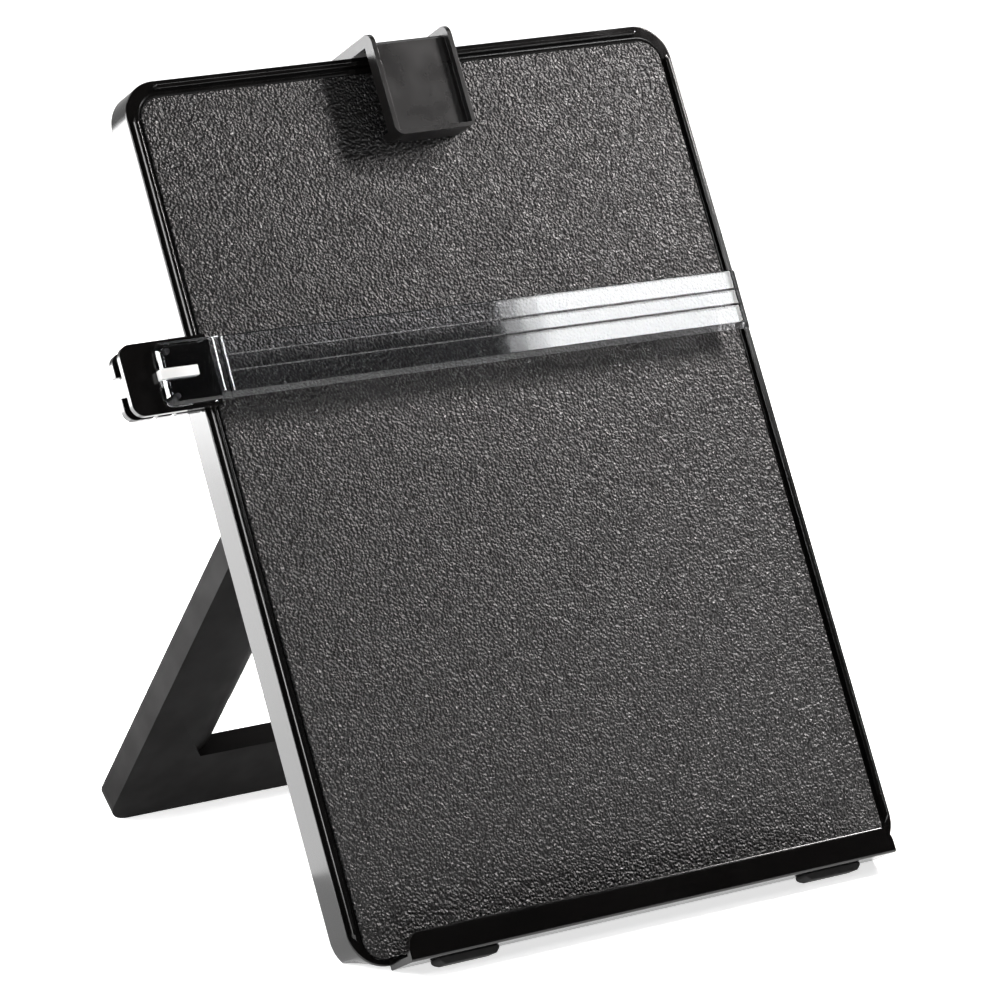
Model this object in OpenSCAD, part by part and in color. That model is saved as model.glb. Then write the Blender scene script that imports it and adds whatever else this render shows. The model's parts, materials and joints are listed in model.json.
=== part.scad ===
// Desktop copy holder: a leaning board with a ledge, an easel leg, a paper clip
// on its top edge and a clear line guide that slides along its left side.
//
// Two frames are used. On the board, X runs to the right, Y up along the board from
// its lower edge and Z out of its front. on_board() places that frame in the world,
// where Z is up and the desk is at 0. on_leg() does the same for the easel leg, whose
// frame has its origin on the leg's hinge.

/* [Stance] */
// Lean of the board back from upright, in degrees
lean = 29.1; // [24:0.1:34]
// Height of the board's lower front edge above the desk
edge_lift = 1.7; // [1.4:0.1:3]
// Gap between the bevelled underside and the desk
desk_gap = 0.3; // [0.2:0.1:1]

/* [Board shell] */
// Width of the board
board_w = 229; // [215:1:260]
// Height of the board
board_h = 318; // [290:1:350]
// Depth of the shell behind its front rim
shell_d = 13; // [11:0.5:18]
// Radius of the board's corners
corner_r = 13.5; // [9:0.5:16]
// Thickness of the side walls
wall = 2.2; // [1.8:0.1:3]
// Thickness of the front wall
front_t = 3; // [2.6:0.1:4]
// Height of the solid sole along the lower edge
sole_h = 9; // [8:0.5:12]

/* [Rails and face panel] */
// Width of the raised rails
rail_w = 1.9; // [1.4:0.1:2.6]
// Height of the rails above the rim
rail_h = 1.4; // [0.8:0.1:2]
// Distance of the rails from the board's outline
rail_inset = 1.6; // [1:0.1:2.4]
// Distance of the rails' upper ends from the board's corners
rail_gap = 14.2; // [12:0.1:18]
// Height of the side rails' lower ends
rail_low = 12.4; // [10:0.1:18]
// Width of the groove inside the rails
groove_w = 0.8; // [0.5:0.1:1.2]
// Depth of the groove
groove_d = 0.7; // [0.4:0.1:1]
// Width of the smooth band between groove and panel at the sides
side_band = 0.9; // [0.6:0.1:2]
// Width of the smooth band between groove and panel at the top
top_band = 1.9; // [1:0.1:3]
// Margin of the panel above the board's lower edge
panel_foot = 2.2; // [2:0.1:4]
// Thickness of the face panel
panel_t = 2; // [1.6:0.1:2.4]
// Height of the panel above the rim
panel_proud = 0.5; // [0.2:0.1:0.8]
// Corner radius of the panel
panel_r = 8; // [5:0.5:11]

/* [Rear cover] */
// Thickness of the rear cover
cover_t = 1.8; // [1.6:0.1:2.6]
// Diameter of the cover screws' heads
cover_head_d = 5.4; // [4.6:0.1:6]
// Distance of the cover screws from the board's sides
screw_side = 16.5; // [13:0.5:22]
// Distance of the cover screws from the board's ends
screw_end = 26; // [22:1:40]

/* [Ledge and feet] */
// Width of the ledge
ledge_w = 203; // [170:1:205]
// Reach of the lip in front of the board's rim
ledge_reach = 15.6; // [12:0.1:20]
// Height of the lip's top above the board's lower edge
lip_top = 8; // [6:0.5:11]
// Thickness of the lip
lip_t = 2.2; // [1.6:0.1:3]
// Thickness of the ledge's floor
floor_t = 2.4; // [2:0.1:3]
// Level of the floor's upper face above the board's lower edge
floor_top = 0.5; // [0.3:0.1:1]
// Radius of the lip's upper corners
lip_corner_r = 6; // [3:0.5:6.5]
// Width of each foot pad
foot_w = 23.6; // [18:0.2:36]
// Depth of each foot pad
foot_d = 7.6; // [6:0.1:9]
// Thickness of each foot pad
foot_t = 2.8; // [2.6:0.1:3.6]
// Distance of the pads' centres from the middle of the board
foot_x = 76.3; // [50:0.1:80]
// Setback of the pads behind the lip's front
foot_setback = 4.6; // [4:0.2:6]

/* [Easel leg] */
// Height of the leg's hinge above the board's lower edge
hinge_up = 158; // [145:1:165]
// Distance of the hinge behind the board's back
hinge_back = 8; // [7:0.2:10]
// Length of the leg from its hinge to its end
leg_len = 158; // [150:1:165]
// Width of the leg
leg_w = 217; // [180:1:217]
// Depth of the leg's frame
leg_t = 8.6; // [7:0.2:9]
// Depth of the leg's outer wall
flange_t = 10.4; // [9:0.2:11]
// Thickness of the leg's skin
leg_skin = 2.2; // [1.8:0.1:2.6]
// Radius of the leg's lower corners
leg_corner_r = 8.8; // [5:0.2:12]
// Height of the bar across the leg's end
leg_bar = 32.7; // [20:0.1:45]
// Height of the bar below the leg's hinge
leg_top_bar = 38; // [24:1:50]
// Width of the leg beside its window at the front face
window_side = 11.7; // [10.5:0.1:18]
// Width of the leg beside its window at the rear
window_side_rear = 36; // [30.5:0.5:42.5]
// Height above the leg's end at which the window's rounded sides begin
window_flare = 60; // [52:1:70]
// Width of the leg's upper arms beside its hinges
arm_w = 9.3; // [7:0.1:9.5]
// Distance of the leg's hinges from its sides
hinge_inset = 20.5; // [18.5:0.5:38]
// Diameter of the leg's hinge pins
hinge_pin_d = 4; // [3:0.1:4.4]

/* [Paper clip] */
// Width of the clip
clip_w = 33.7; // [28:0.1:40]
// Distance of the clip's lower end below the board's upper edge
clip_drop = 33.4; // [28:0.2:40]
// Rise of the clip's top above the board
clip_rise = 5.6; // [5.2:0.1:7]
// Height of the clip's rims in front of the board's rim
clip_front = 10.9; // [10:0.1:13]
// Width of the rims
clip_rim = 1.8; // [1.4:0.1:2.6]
// Height of the rims above the clip's face
clip_rim_h = 2.5; // [1.4:0.1:2.6]
// Thickness of the clip's face
clip_skin = 1.8; // [1.4:0.1:2]
// Reach of the thumb tab behind the board's back
tab_reach = 15; // [13.4:0.2:18]
// Diameter of the clip's pin
clip_pin_d = 2.4; // [2:0.1:2.6]

/* [Line guide] */
// Height of the guide's middle above the board's lower edge
guide_up = 211.5; // [60:0.5:250]
// Height of the guide's levers
lever_h = 25.5; // [22:0.5:27]
// Reach of the levers beyond the board's side
lever_reach = 30.5; // [26:0.5:36]
// Thickness of the front lever plate
plate_t = 2.2; // [1.8:0.1:2.6]
// Height of the front lever plate's back above the board's rim
plate_back = 4.6; // [4.4:0.1:5.4]
// Length of the clear end block
block_len = 21.6; // [18:0.2:23]
// Height of the clear end block
block_h = 22.6; // [19:0.1:23]
// Thickness of the clear end block
block_t = 3; // [2.6:0.1:3.6]
// Height of the clear bar
bar_h = 22; // [18:0.1:22.4]
// Thickness of the clear bar
bar_t = 2.4; // [2:0.1:2.6]
// Droop of the clear bar's free end below square, in degrees
bar_droop = 0.9; // [0:0.1:1.5]
// Gap between the bar's free end and the far rail
bar_end_gap = 1.5; // [1:0.1:4]
// Diameter of the guide's hinge pin
guide_pin_d = 2.6; // [2:0.1:2.6]
// Thickness of the guide's rear lever
rear_t = 3; // [2.4:0.1:3.4]

/* [Fits] */
// Running clearance around pins, on the radius
run_gap = 0.06; // [0.03:0.01:0.1]
// Clearance between seated flat faces
seat_gap = 0.1; // [0.05:0.01:0.2]
// Clearance between sliding pieces
slide_gap = 0.3; // [0.2:0.05:0.4]

/* [Hidden] */
$fn = 48;

half_w = board_w / 2;
back_z = -shell_d;

// The rails and the panel, measured from the board's outline
groove_in = rail_inset + rail_w;
side_in = groove_in + groove_w + side_band;
top_in = groove_in + groove_w + top_band;
panel_w = board_w - 2 * side_in;
panel_h = board_h - top_in - panel_foot;
pocket_z = panel_proud - panel_t;

// The cover lies flush in the shell's back
cover_w = board_w - 2 * wall - 2 * slide_gap;
cover_y = sole_h + slide_gap;
cover_h = board_h - wall - slide_gap - cover_y;
cover_z = back_z + cover_t;
head_t = 1.2;
screw_d = 2.9;
screw_x = half_w - screw_side;
cover_screw_len = 6.5;
small_head_d = 5;
small_head_t = 1.4;
small_screw_len = 5;
cover_boss_d = 7;
cover_hole_len = 8;
boss_d = 6;
boss_h = 4.2;

// The ledge's root sits on the shell's front rim and its tongues go through the rim
root_t = 1.4;
root_top = panel_foot - slide_gap;
tongue_w = 14;
tongue_low = floor_top + 0.4;
tongue_t = root_top - 0.1 - tongue_low;
tongue_len = 3;
tongue_xs = [-75, -25, 25, 75];
floor_low = floor_top - floor_t;

// The leg hangs from its hinge and its end's front edge stands on the desk. Its hinges and
// its window are set from its sides.
hinge_x = leg_w / 2 - hinge_inset;
window_front = leg_w / 2 - window_side;
window_rear = leg_w / 2 - window_side_rear;
axis_z = back_z - hinge_back;
leg_gap = 0.3;
leg_front = hinge_back - leg_gap;
leg_rear = leg_front - leg_t;
flange_rear = leg_front - flange_t;
leg_top = 9;
arm_top = sqrt(pow(hinge_back - 0.1, 2) - leg_front * leg_front);
hinge_height = edge_lift + hinge_up * cos(lean) + axis_z * sin(lean);
leg_reach = sqrt(leg_len * leg_len + leg_front * leg_front);
leg_slope = asin(hinge_height / leg_reach) - atan(leg_front / leg_len);
leg_turn = 180 - leg_slope;
knuckle_r = 4.3;
knuckle_w = 13;
ear_t = 3;
ear_gap = 0.4;
bracket_t = 1.6;
bracket_low = leg_top - 1.5;
bracket_high = 16;
bracket_screw_y = 11.5;
bracket_half = knuckle_w / 2 + ear_gap + ear_t;
leaf_t = 0.45;
leaf_w = 7;
leaf_end = 14.5;
leaf_bend = 8;
leaf_knee = 5.4;
leaf_drop = 2;
leaf_touch = 1.5;
leaf_curl = 0.8;
leaf_base = hinge_back - seat_gap / 2 - bracket_t - 0.03;

// The clip turns on a pin behind the board
clip_low = board_h - clip_drop;
clip_top = board_h + clip_rise;
clip_face = clip_front - clip_rim_h;
clip_web_top = clip_top - clip_rim_h;
clip_inner_z = clip_face - clip_skin;
clip_inner_y = clip_web_top - clip_skin;
clip_axis_y = board_h - 2.5;
clip_axis_z = back_z - 3.3;
clip_barrel_r = 2.8;
clip_ear_out = clip_w / 2 - clip_rim - ear_gap;
clip_ear_t = 2;
clip_plate_low = board_h - 24;
clip_plate_t = 1.4;
clip_ear_r = 2.5;
clip_ear_len = 8;
clip_screw_y = board_h - 18;
clip_screw_x = 7;
clip_coil_r = 2.3;
clip_wire = 0.8;

// The guide's two levers turn on one pin beside the board
lever_x = half_w + lever_reach;
pin_x = half_w + 6.5;
rear_front_z = -0.6;
pin_z = (plate_back + rear_front_z) / 2;
lever_knuckle_r = pin_z - rear_front_z - 0.3;
side_web_t = 2.6;
hook_reach = 5.4;
hook_t = 3;
plate_end = half_w - rail_inset - rail_w - 0.2;
block_x = plate_end + block_len;
block_z = plate_back + plate_t;
bar_end = half_w - groove_in - bar_end_gap;
bar_step = 4.3;
bar_bevel = 3;
tab_len = 15.4;
tab_h = 4.6;

// The whole object stands centred over the origin
ledge_edge_r = 1;
front_y = (floor_low + ledge_edge_r) * sin(lean) - (ledge_reach - ledge_edge_r) * cos(lean)
    - ledge_edge_r;
leg_end_y = hinge_up * sin(lean) - axis_z * cos(lean) + leg_len * cos(leg_slope)
    - flange_rear * sin(leg_slope);
origin_x = lever_reach / 2;
origin_y = -(front_y + leg_end_y) / 2;

module on_board() {
    translate([origin_x, origin_y, edge_lift]) rotate([90 - lean, 0, 0]) children();
}

module on_leg() {
    on_board() translate([0, hinge_up, axis_z]) rotate([leg_turn + lean - 90, 0, 0]) children();
}

// Everything lower than this much above the desk
module below(height) {
    deep = 60;
    translate([-board_w, -board_h, height - deep]) cube([2 * board_w, 2 * board_h, deep]);
}

// A rectangle from y = 0 up, centred in x, with round corners
module round_rect(w, h, r) {
    translate([-w / 2 + r, 0]) square([w - 2 * r, h]);
    translate([-w / 2, r]) square([w, h - 2 * r]);
    for (x = [-1, 1], y = [r, h - r]) translate([x * (w / 2 - r), y]) circle(r);
}

// A rectangle from y = 0 up whose lower corners only are round
module round_foot_rect(w, h, r) {
    translate([-w / 2 + r, 0]) square([w - 2 * r, h]);
    translate([-w / 2, r]) square([w, h - r]);
    for (x = [-1, 1]) translate([x * (w / 2 - r), r]) circle(r);
}

// A bar along X from x1 to x2, of the side profile given by its children in (y, z)
module across(x1, x2) {
    translate([x1, 0, 0]) rotate([90, 0, 90]) linear_extrude(x2 - x1) children();
}

// A rod along X
module rod_x(x1, x2, r) {
    translate([x1, 0, 0]) rotate([0, 90, 0]) cylinder(h = x2 - x1, r = r);
}

// A rod along Y
module rod_y(y1, y2, r) {
    translate([0, y1, 0]) rotate([-90, 0, 0]) cylinder(h = y2 - y1, r = r);
}

// A pan-head screw along Z, head above z = 0 and shank below it
module screw(d, head_d, head, length) {
    difference() {
        union() {
            translate([0, 0, -length]) cylinder(h = length + head / 2, d = d);
            cylinder(h = head, d = head_d);
        }
        for (turn = [0, 90]) rotate(turn) translate([-head_d / 3, -0.3, head / 2])
            cube([head_d * 2 / 3, 0.6, head]);
    }
}

module at_cover_screws() {
    for (x = [-screw_x, 0, screw_x], y = [screw_end, board_h - screw_end])
        translate([x, y, back_z + head_t]) children();
}

// ---------- board ----------

module rails() {
    length = board_h - rail_gap - rail_low;
    for (side = [-1, 1]) translate([side * (half_w - rail_inset - rail_w / 2) - rail_w / 2, rail_low, 0])
        cube([rail_w, length, rail_h]);
    translate([-half_w + rail_gap, board_h - rail_inset - rail_w, 0])
        cube([board_w - 2 * rail_gap, rail_w, rail_h]);
}

module grooves() {
    length = board_h - rail_gap - rail_low;
    for (side = [-1, 1])
        translate([side * (half_w - groove_in - groove_w / 2) - groove_w / 2, rail_low, -groove_d])
            cube([groove_w, length, groove_d + 1]);
    translate([-half_w + rail_gap, board_h - groove_in - groove_w, -groove_d])
        cube([board_w - 2 * rail_gap, groove_w, groove_d + 1]);
}

module front_shell() {
    inner_w = board_w - 2 * wall;
    inner_h = board_h - wall - sole_h;
    color([0.08, 0.08, 0.085]) difference() {
        on_board() {
            difference() {
                translate([0, 0, back_z]) linear_extrude(shell_d) round_rect(board_w, board_h, corner_r);
                translate([0, sole_h, back_z - 1]) linear_extrude(shell_d - front_t + 1)
                    round_rect(inner_w, inner_h, corner_r - wall);
                translate([0, panel_foot, pocket_z]) linear_extrude(front_t)
                    round_rect(panel_w, panel_h, panel_r);
                grooves();
                for (x = tongue_xs)
                    translate([x - tongue_w / 2 - seat_gap, tongue_low - seat_gap, -tongue_len - seat_gap])
                        cube([tongue_w + 2 * seat_gap, tongue_t + 2 * seat_gap, tongue_len + 1]);
            }
            rails();
            at_cover_screws() difference() {
                length = shell_d - front_t - cover_t - seat_gap + 0.5;
                translate([0, 0, cover_t - head_t + seat_gap]) cylinder(h = length, d = cover_boss_d);
                translate([0, 0, -1]) cylinder(h = cover_hole_len, r = screw_d / 2 + run_gap);
            }
        }
        below(desk_gap);
    }
}

module face_panel() {
    color([0.2, 0.2, 0.2]) on_board()
        translate([0, panel_foot + seat_gap, pocket_z + 0.02]) linear_extrude(panel_t - 0.02)
            round_rect(panel_w - 2 * seat_gap, panel_h - 2 * seat_gap, panel_r);
}

module rear_cover() {
    color([0.1, 0.1, 0.1]) on_board() difference() {
        union() {
            translate([0, cover_y, back_z]) linear_extrude(cover_t)
                round_rect(cover_w, cover_h, corner_r - wall - slide_gap);
            for (side = [-1, 1]) translate([side * hinge_x, hinge_up + bracket_screw_y, cover_z])
                for (x = [-1, 1]) translate([x * bracket_half / 2, 0, 0]) cylinder(h = boss_h, d = boss_d);
            for (x = [-clip_screw_x, clip_screw_x]) translate([x, clip_screw_y, cover_z])
                cylinder(h = boss_h, d = boss_d);
        }
        at_cover_screws() {
            translate([0, 0, -head_t - 1]) cylinder(h = head_t + 1, d = cover_head_d + 0.6);
            translate([0, 0, -1]) cylinder(h = cover_t + 2, r = screw_d / 2 + 0.2);
        }
        for (side = [-1, 1]) translate([side * hinge_x, hinge_up + bracket_screw_y, back_z - 1])
            for (x = [-1, 1]) translate([x * bracket_half / 2, 0, 0])
                cylinder(h = boss_h + cover_t - 0.5, r = screw_d / 2 + run_gap);
        for (x = [-clip_screw_x, clip_screw_x]) translate([x, clip_screw_y, back_z - 1])
            cylinder(h = boss_h + cover_t - 0.5, r = screw_d / 2 + run_gap);
    }
}

module cover_screws() {
    color("silver") on_board() at_cover_screws() mirror([0, 0, 1])
        screw(screw_d, cover_head_d, head_t - 0.1, cover_screw_len);
}

// ---------- ledge and feet ----------

// The ledge's side profile: (y, z) on the board
module ledge_profile() {
    r = ledge_edge_r;
    translate([floor_low, seat_gap / 2]) square([floor_t, ledge_reach - r - seat_gap / 2]);
    translate([floor_low + r, ledge_reach - lip_t]) square([lip_top - floor_low - r - lip_t / 2, lip_t]);
    translate([lip_top - lip_t / 2, ledge_reach - lip_t / 2]) circle(lip_t / 2);
    translate([floor_low + r, ledge_reach - r]) circle(r);
    translate([floor_low, seat_gap / 2]) square([root_top - floor_low, root_t]);
}

module ledge() {
    color([0.09, 0.09, 0.095]) difference() {
        on_board() {
            intersection() {
                across(-ledge_w / 2, ledge_w / 2) ledge_profile();
                translate([0, lip_top, -1]) linear_extrude(ledge_reach + 2) mirror([0, 1])
                    round_foot_rect(ledge_w, lip_top - floor_low + 1, lip_corner_r);
            }
            for (x = tongue_xs) translate([x - tongue_w / 2, tongue_low, -tongue_len])
                cube([tongue_w, tongue_t, tongue_len + root_t / 2]);
        }
        below(desk_gap);
    }
}

module foot_pads() {
    bevel = 1.6;
    color([0.04, 0.04, 0.04]) difference() {
        on_board() for (side = [-1, 1])
            translate([side * foot_x, floor_low, ledge_reach - foot_setback - foot_d])
                linear_extrude(foot_d) polygon([[-foot_w / 2, 0], [foot_w / 2, 0], [foot_w / 2, bevel - foot_t],
                    [foot_w / 2 - bevel, -foot_t], [bevel - foot_w / 2, -foot_t],
                    [-foot_w / 2, bevel - foot_t]]);
        below(0);
    }
}

// ---------- easel leg ----------

// The window's section across the leg: its sides curve back like a rounded edge
module window_section() {
    flare = window_front - window_rear;
    steps = 10;
    side = [for (i = [0:steps]) let (a = 90 * i / steps)
        [window_front - flare * sin(a), leg_rear + leg_t * cos(a)]];
    polygon(concat([[window_front, leg_front + 1]], side, [[window_rear, flange_rear - 1]],
        [[-window_rear, flange_rear - 1]], [for (i = [steps:-1:0]) [-side[i][0], side[i][1]]],
        [[-window_front, leg_front + 1]]));
}

module window_cut() {
    low = leg_bar - leg_len;
    flare_low = window_flare - leg_len;
    high = -leg_top_bar;
    corner = 7.5;
    translate([-window_rear - corner / 3, low, flange_rear - 1])
        cube([2 * window_rear + 2 * corner / 3, flare_low - low, flange_t + 2]);
    intersection() {
        translate([0, high, 0]) rotate([90, 0, 0]) linear_extrude(high - low) window_section();
        translate([0, 0, flange_rear - 2]) linear_extrude(flange_t + 4)
            polygon([[-window_rear - corner, low], [window_rear + corner, low],
                [window_front, flare_low], [window_front, high], [-window_front, high],
                [-window_front, flare_low]]);
    }
}

// The hollow behind the leg's skin
module leg_hollows() {
    inner = leg_w / 2 - leg_skin;
    deep = leg_t - leg_skin;
    low = leg_bar - leg_len;
    corner = leg_corner_r - leg_skin;
    side_w = inner - window_front - 2;
    arm_in = leg_w / 2 - arm_w + leg_skin;
    translate([0, leg_skin - leg_len, leg_rear - 1]) linear_extrude(deep + 1)
        round_foot_rect(2 * inner, leg_bar - 2 * leg_skin, corner);
    translate([-inner, -leg_top_bar + leg_skin, leg_rear - 1])
        cube([2 * inner, leg_top_bar - leg_top - 2 * leg_skin, deep + 1]);
    for (x = [-inner, window_front + 2]) translate([x, low, leg_rear - 1])
        cube([side_w, leg_len - leg_bar - leg_top_bar, deep + 1]);
    for (x = [-inner, arm_in]) translate([x, -leg_top - leg_skin - 1, leg_rear - 1])
        cube([inner - arm_in, leg_top + arm_top + 1, deep + 1]);
    translate([0, leg_skin - leg_len, flange_rear - 1]) linear_extrude(leg_rear - flange_rear + 1)
        round_foot_rect(2 * inner, leg_len - leg_top - 2 * leg_skin, corner);
}

// The leg's outline: a round-cornered frame with an arm beside each hinge
module leg_outline() {
    translate([0, -leg_len]) round_foot_rect(leg_w, leg_len - leg_top, leg_corner_r);
    for (x = [-leg_w / 2, leg_w / 2 - arm_w]) translate([x, -leg_top - 1])
        square([arm_w, leg_top + arm_top + 1]);
}

module easel_leg() {
    color([0.09, 0.09, 0.09]) on_leg() difference() {
        union() {
            difference() {
                translate([0, 0, flange_rear]) linear_extrude(flange_t) leg_outline();
                window_cut();
                leg_hollows();
            }
            for (side = [-1, 1]) translate([side * hinge_x - knuckle_w / 2, 0, 0]) {
                rod_x(0, knuckle_w, knuckle_r);
                translate([0, -leg_top - leg_skin, -0.9]) cube([knuckle_w, leg_top + leg_skin, 4.4]);
            }
        }
        for (side = [-1, 1]) translate([side * hinge_x - knuckle_w / 2 - 1, 0, 0]) {
            rod_x(0, knuckle_w + 2, hinge_pin_d / 2 + run_gap);
            for (a = [-22:11:22]) rotate([a + 52, 0, 0]) translate([0, knuckle_r + 0.15, 0])
                rod_x(0, knuckle_w + 2, 0.5);
        }
    }
}

// A bracket's ear: a round end about the hinge, down to the base plate
module bracket_ear() {
    circle(knuckle_r);
    translate([-knuckle_r, 0]) square([2 * knuckle_r, hinge_back - seat_gap / 2]);
}

module hinge_brackets() {
    base = hinge_back - seat_gap / 2;
    color([0.12, 0.12, 0.12]) on_board() translate([0, hinge_up, axis_z])
        for (side = [-1, 1]) translate([side * hinge_x, 0, 0]) difference() {
            union() {
                translate([-bracket_half, -bracket_low, base - bracket_t])
                    cube([2 * bracket_half, bracket_low + bracket_high, bracket_t]);
                for (x = [-bracket_half, bracket_half - ear_t]) across(x, x + ear_t) bracket_ear();
            }
            rod_x(-bracket_half - 1, bracket_half + 1, hinge_pin_d / 2 + run_gap);
            for (x = [-1, 1]) translate([x * bracket_half / 2, bracket_screw_y, base - bracket_t - 1])
                cylinder(h = bracket_t + 2, r = screw_d / 2 + 0.2);
        }
}

module hinge_screws() {
    base = leaf_base - leaf_t - 0.02;
    color("silver") on_board() translate([0, hinge_up, axis_z])
        for (side = [-1, 1], x = [-1, 1])
            translate([side * hinge_x + x * bracket_half / 2, bracket_screw_y, base]) mirror([0, 0, 1])
                screw(screw_d, small_head_d, small_head_t, small_screw_len);
}

module leg_pins() {
    color("silver") on_board() translate([0, hinge_up, axis_z])
        for (side = [-1, 1]) translate([side * hinge_x, 0, 0]) {
            rod_x(-bracket_half - 0.6, bracket_half + 0.6, hinge_pin_d / 2);
            translate([side * (bracket_half + 0.6), 0, 0]) rod_x(-0.5, 0.5, hinge_pin_d / 2 + 1);
        }
}

// A bent leaf under the bracket's screws, whose tip rides on the leg's knuckle
module detent_springs() {
    tip = sqrt(pow(knuckle_r + leg_gap, 2) - leaf_touch * leaf_touch);
    back = leaf_base - leaf_t;
    root = leaf_bend + leaf_t;
    color("silver") on_board() translate([0, hinge_up, axis_z])
        for (side = [-1, 1]) translate([side * hinge_x, 0, 0]) {
            across(-leaf_w / 2, leaf_w / 2) polygon([[leaf_end, leaf_base], [leaf_bend, leaf_base],
                [leaf_knee, leaf_base - leaf_drop], [tip, leaf_touch], [tip + 1.1, -leaf_curl],
                [tip + 1.6, -leaf_curl], [tip + 0.55, leaf_touch], [leaf_knee + 0.5, back - leaf_drop],
                [leaf_bend + 0.2, back], [leaf_end, back]]);
            difference() {
                translate([-bracket_half + 0.5, root, back])
                    cube([2 * bracket_half - 1, leaf_end + 0.3 - root, leaf_t]);
                for (x = [-1, 1]) translate([x * bracket_half / 2, bracket_screw_y, leaf_base - 2])
                    cylinder(h = 4, r = screw_d / 2 + 0.2);
            }
        }
}

// ---------- paper clip ----------

// The clip's profile in (y, z): the jaw in front, the bridge over the board, the tab behind.
// 'out' is the front and top surface's distance beyond the face
module clip_profile(out) {
    front = clip_face + out;
    top = clip_web_top + out;
    r = 4;
    tab = back_z - tab_reach;
    deep = front - clip_inner_z;
    high = top - clip_inner_y;
    translate([clip_low, clip_inner_z]) square([clip_inner_y - clip_low, deep]);
    translate([clip_inner_y, tab]) square([high, front - r - tab]);
    intersection() {
        translate([clip_inner_y - 1, clip_inner_z - 1]) square([high + 1, deep + 1]);
        union() {
            translate([top - r, front - r]) circle(r);
            translate([clip_inner_y - 1, clip_inner_z]) square([high - r + 1, deep]);
            translate([clip_inner_y, clip_inner_z - 1]) square([high, deep - r + 1]);
        }
    }
}

// The clip's outline from the front, with its lower corners round
module clip_outline(inset) {
    translate([0, clip_low + inset]) round_foot_rect(clip_w - 2 * inset, 60, max(3.6 - inset, 1));
}

module clip_lever() {
    side_x = clip_w / 2;
    ridge = 3;
    flange_z = clip_inner_z - 1.2;
    color([0.14, 0.14, 0.14]) on_board() difference() {
        union() {
            intersection() {
                union() {
                    across(-side_x, side_x) clip_profile(0);
                    for (x = [-side_x, side_x - clip_rim]) across(x, x + clip_rim) {
                        clip_profile(clip_rim_h);
                        translate([clip_low, flange_z]) square([clip_inner_y - clip_low, 3]);
                    }
                    translate([-side_x, clip_low, clip_inner_z])
                        cube([clip_w, clip_rim, clip_front - clip_inner_z]);
                    translate([-side_x, clip_low, panel_proud + 0.25]) cube([clip_w, ridge, clip_inner_z]);
                }
                translate([0, 0, back_z - tab_reach - 1]) linear_extrude(80) clip_outline(0);
            }
            for (x = [-side_x, side_x - clip_rim]) {
                translate([0, clip_axis_y, clip_axis_z]) rod_x(x, x + clip_rim, clip_barrel_r);
                translate([x, clip_axis_y, clip_axis_z - clip_barrel_r])
                    cube([clip_rim, clip_inner_y - clip_axis_y + 0.5, 2 * clip_barrel_r]);
            }
        }
        translate([0, clip_axis_y, clip_axis_z]) rod_x(-side_x - 1, side_x + 1, clip_pin_d / 2 + run_gap);
    }
}

module clip_bracket() {
    plate_z = back_z - seat_gap / 2;
    plate_high = clip_axis_y - clip_coil_r - clip_wire / 2 - 0.6;
    ear_low = clip_axis_y - clip_ear_len;
    color("silver") on_board() difference() {
        union() {
            translate([-clip_ear_out, clip_plate_low, plate_z - clip_plate_t])
                cube([2 * clip_ear_out, plate_high - clip_plate_low, clip_plate_t]);
            for (x = [-clip_ear_out, clip_ear_out - clip_ear_t]) across(x, x + clip_ear_t) {
                translate([clip_axis_y, clip_axis_z]) circle(clip_ear_r);
                translate([ear_low, clip_axis_z - clip_ear_r])
                    square([clip_ear_len, plate_z - clip_axis_z + clip_ear_r]);
            }
        }
        translate([0, clip_axis_y, clip_axis_z]) rod_x(-clip_w, clip_w, clip_pin_d / 2 + run_gap);
        for (x = [-clip_screw_x, clip_screw_x])
            translate([x, clip_screw_y, plate_z - clip_plate_t - 1])
                cylinder(h = clip_plate_t + 2, r = screw_d / 2 + 0.2);
    }
}

module clip_screws() {
    color("silver") on_board() for (x = [-clip_screw_x, clip_screw_x])
        translate([x, clip_screw_y, back_z - seat_gap / 2 - clip_plate_t - 0.02]) mirror([0, 0, 1])
            screw(screw_d, small_head_d, small_head_t, small_screw_len);
}

module clip_pin() {
    reach = clip_w / 2 + 0.3;
    color("silver") on_board() translate([0, clip_axis_y, clip_axis_z]) {
        rod_x(-reach, reach, clip_pin_d / 2);
        for (x = [-reach - 0.5, reach]) rod_x(x, x + 0.5, clip_pin_d / 2 + 0.7);
    }
}

// ---------- torsion springs ----------

// The path of a torsion spring about X: a straight arm, the curls, a straight arm.
// 'start' is the angle at which the curls begin and 'sweep' the angle they go through
function coil_path(r, pitch, start, sweep, arm1, arm2) =
    let (n = round(sweep / 45), length = pitch * sweep / 360, end = start + sweep,
        at = function (i) let (a = start + sweep * i / n) [length * (i / n - 0.5), r * cos(a), r * sin(a)],
        d1 = [0, sin(start), -cos(start)],
        d2 = [0, -sin(end), cos(end)])
    concat([at(0) + d1 * arm1, at(0) + d1 * arm1 / 2, at(0) + d1 * arm1 / 8],
        [for (i = [0:n]) at(i)],
        [at(n) + d2 * arm2 / 8, at(n) + d2 * arm2 / 2, at(n) + d2 * arm2]);

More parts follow.
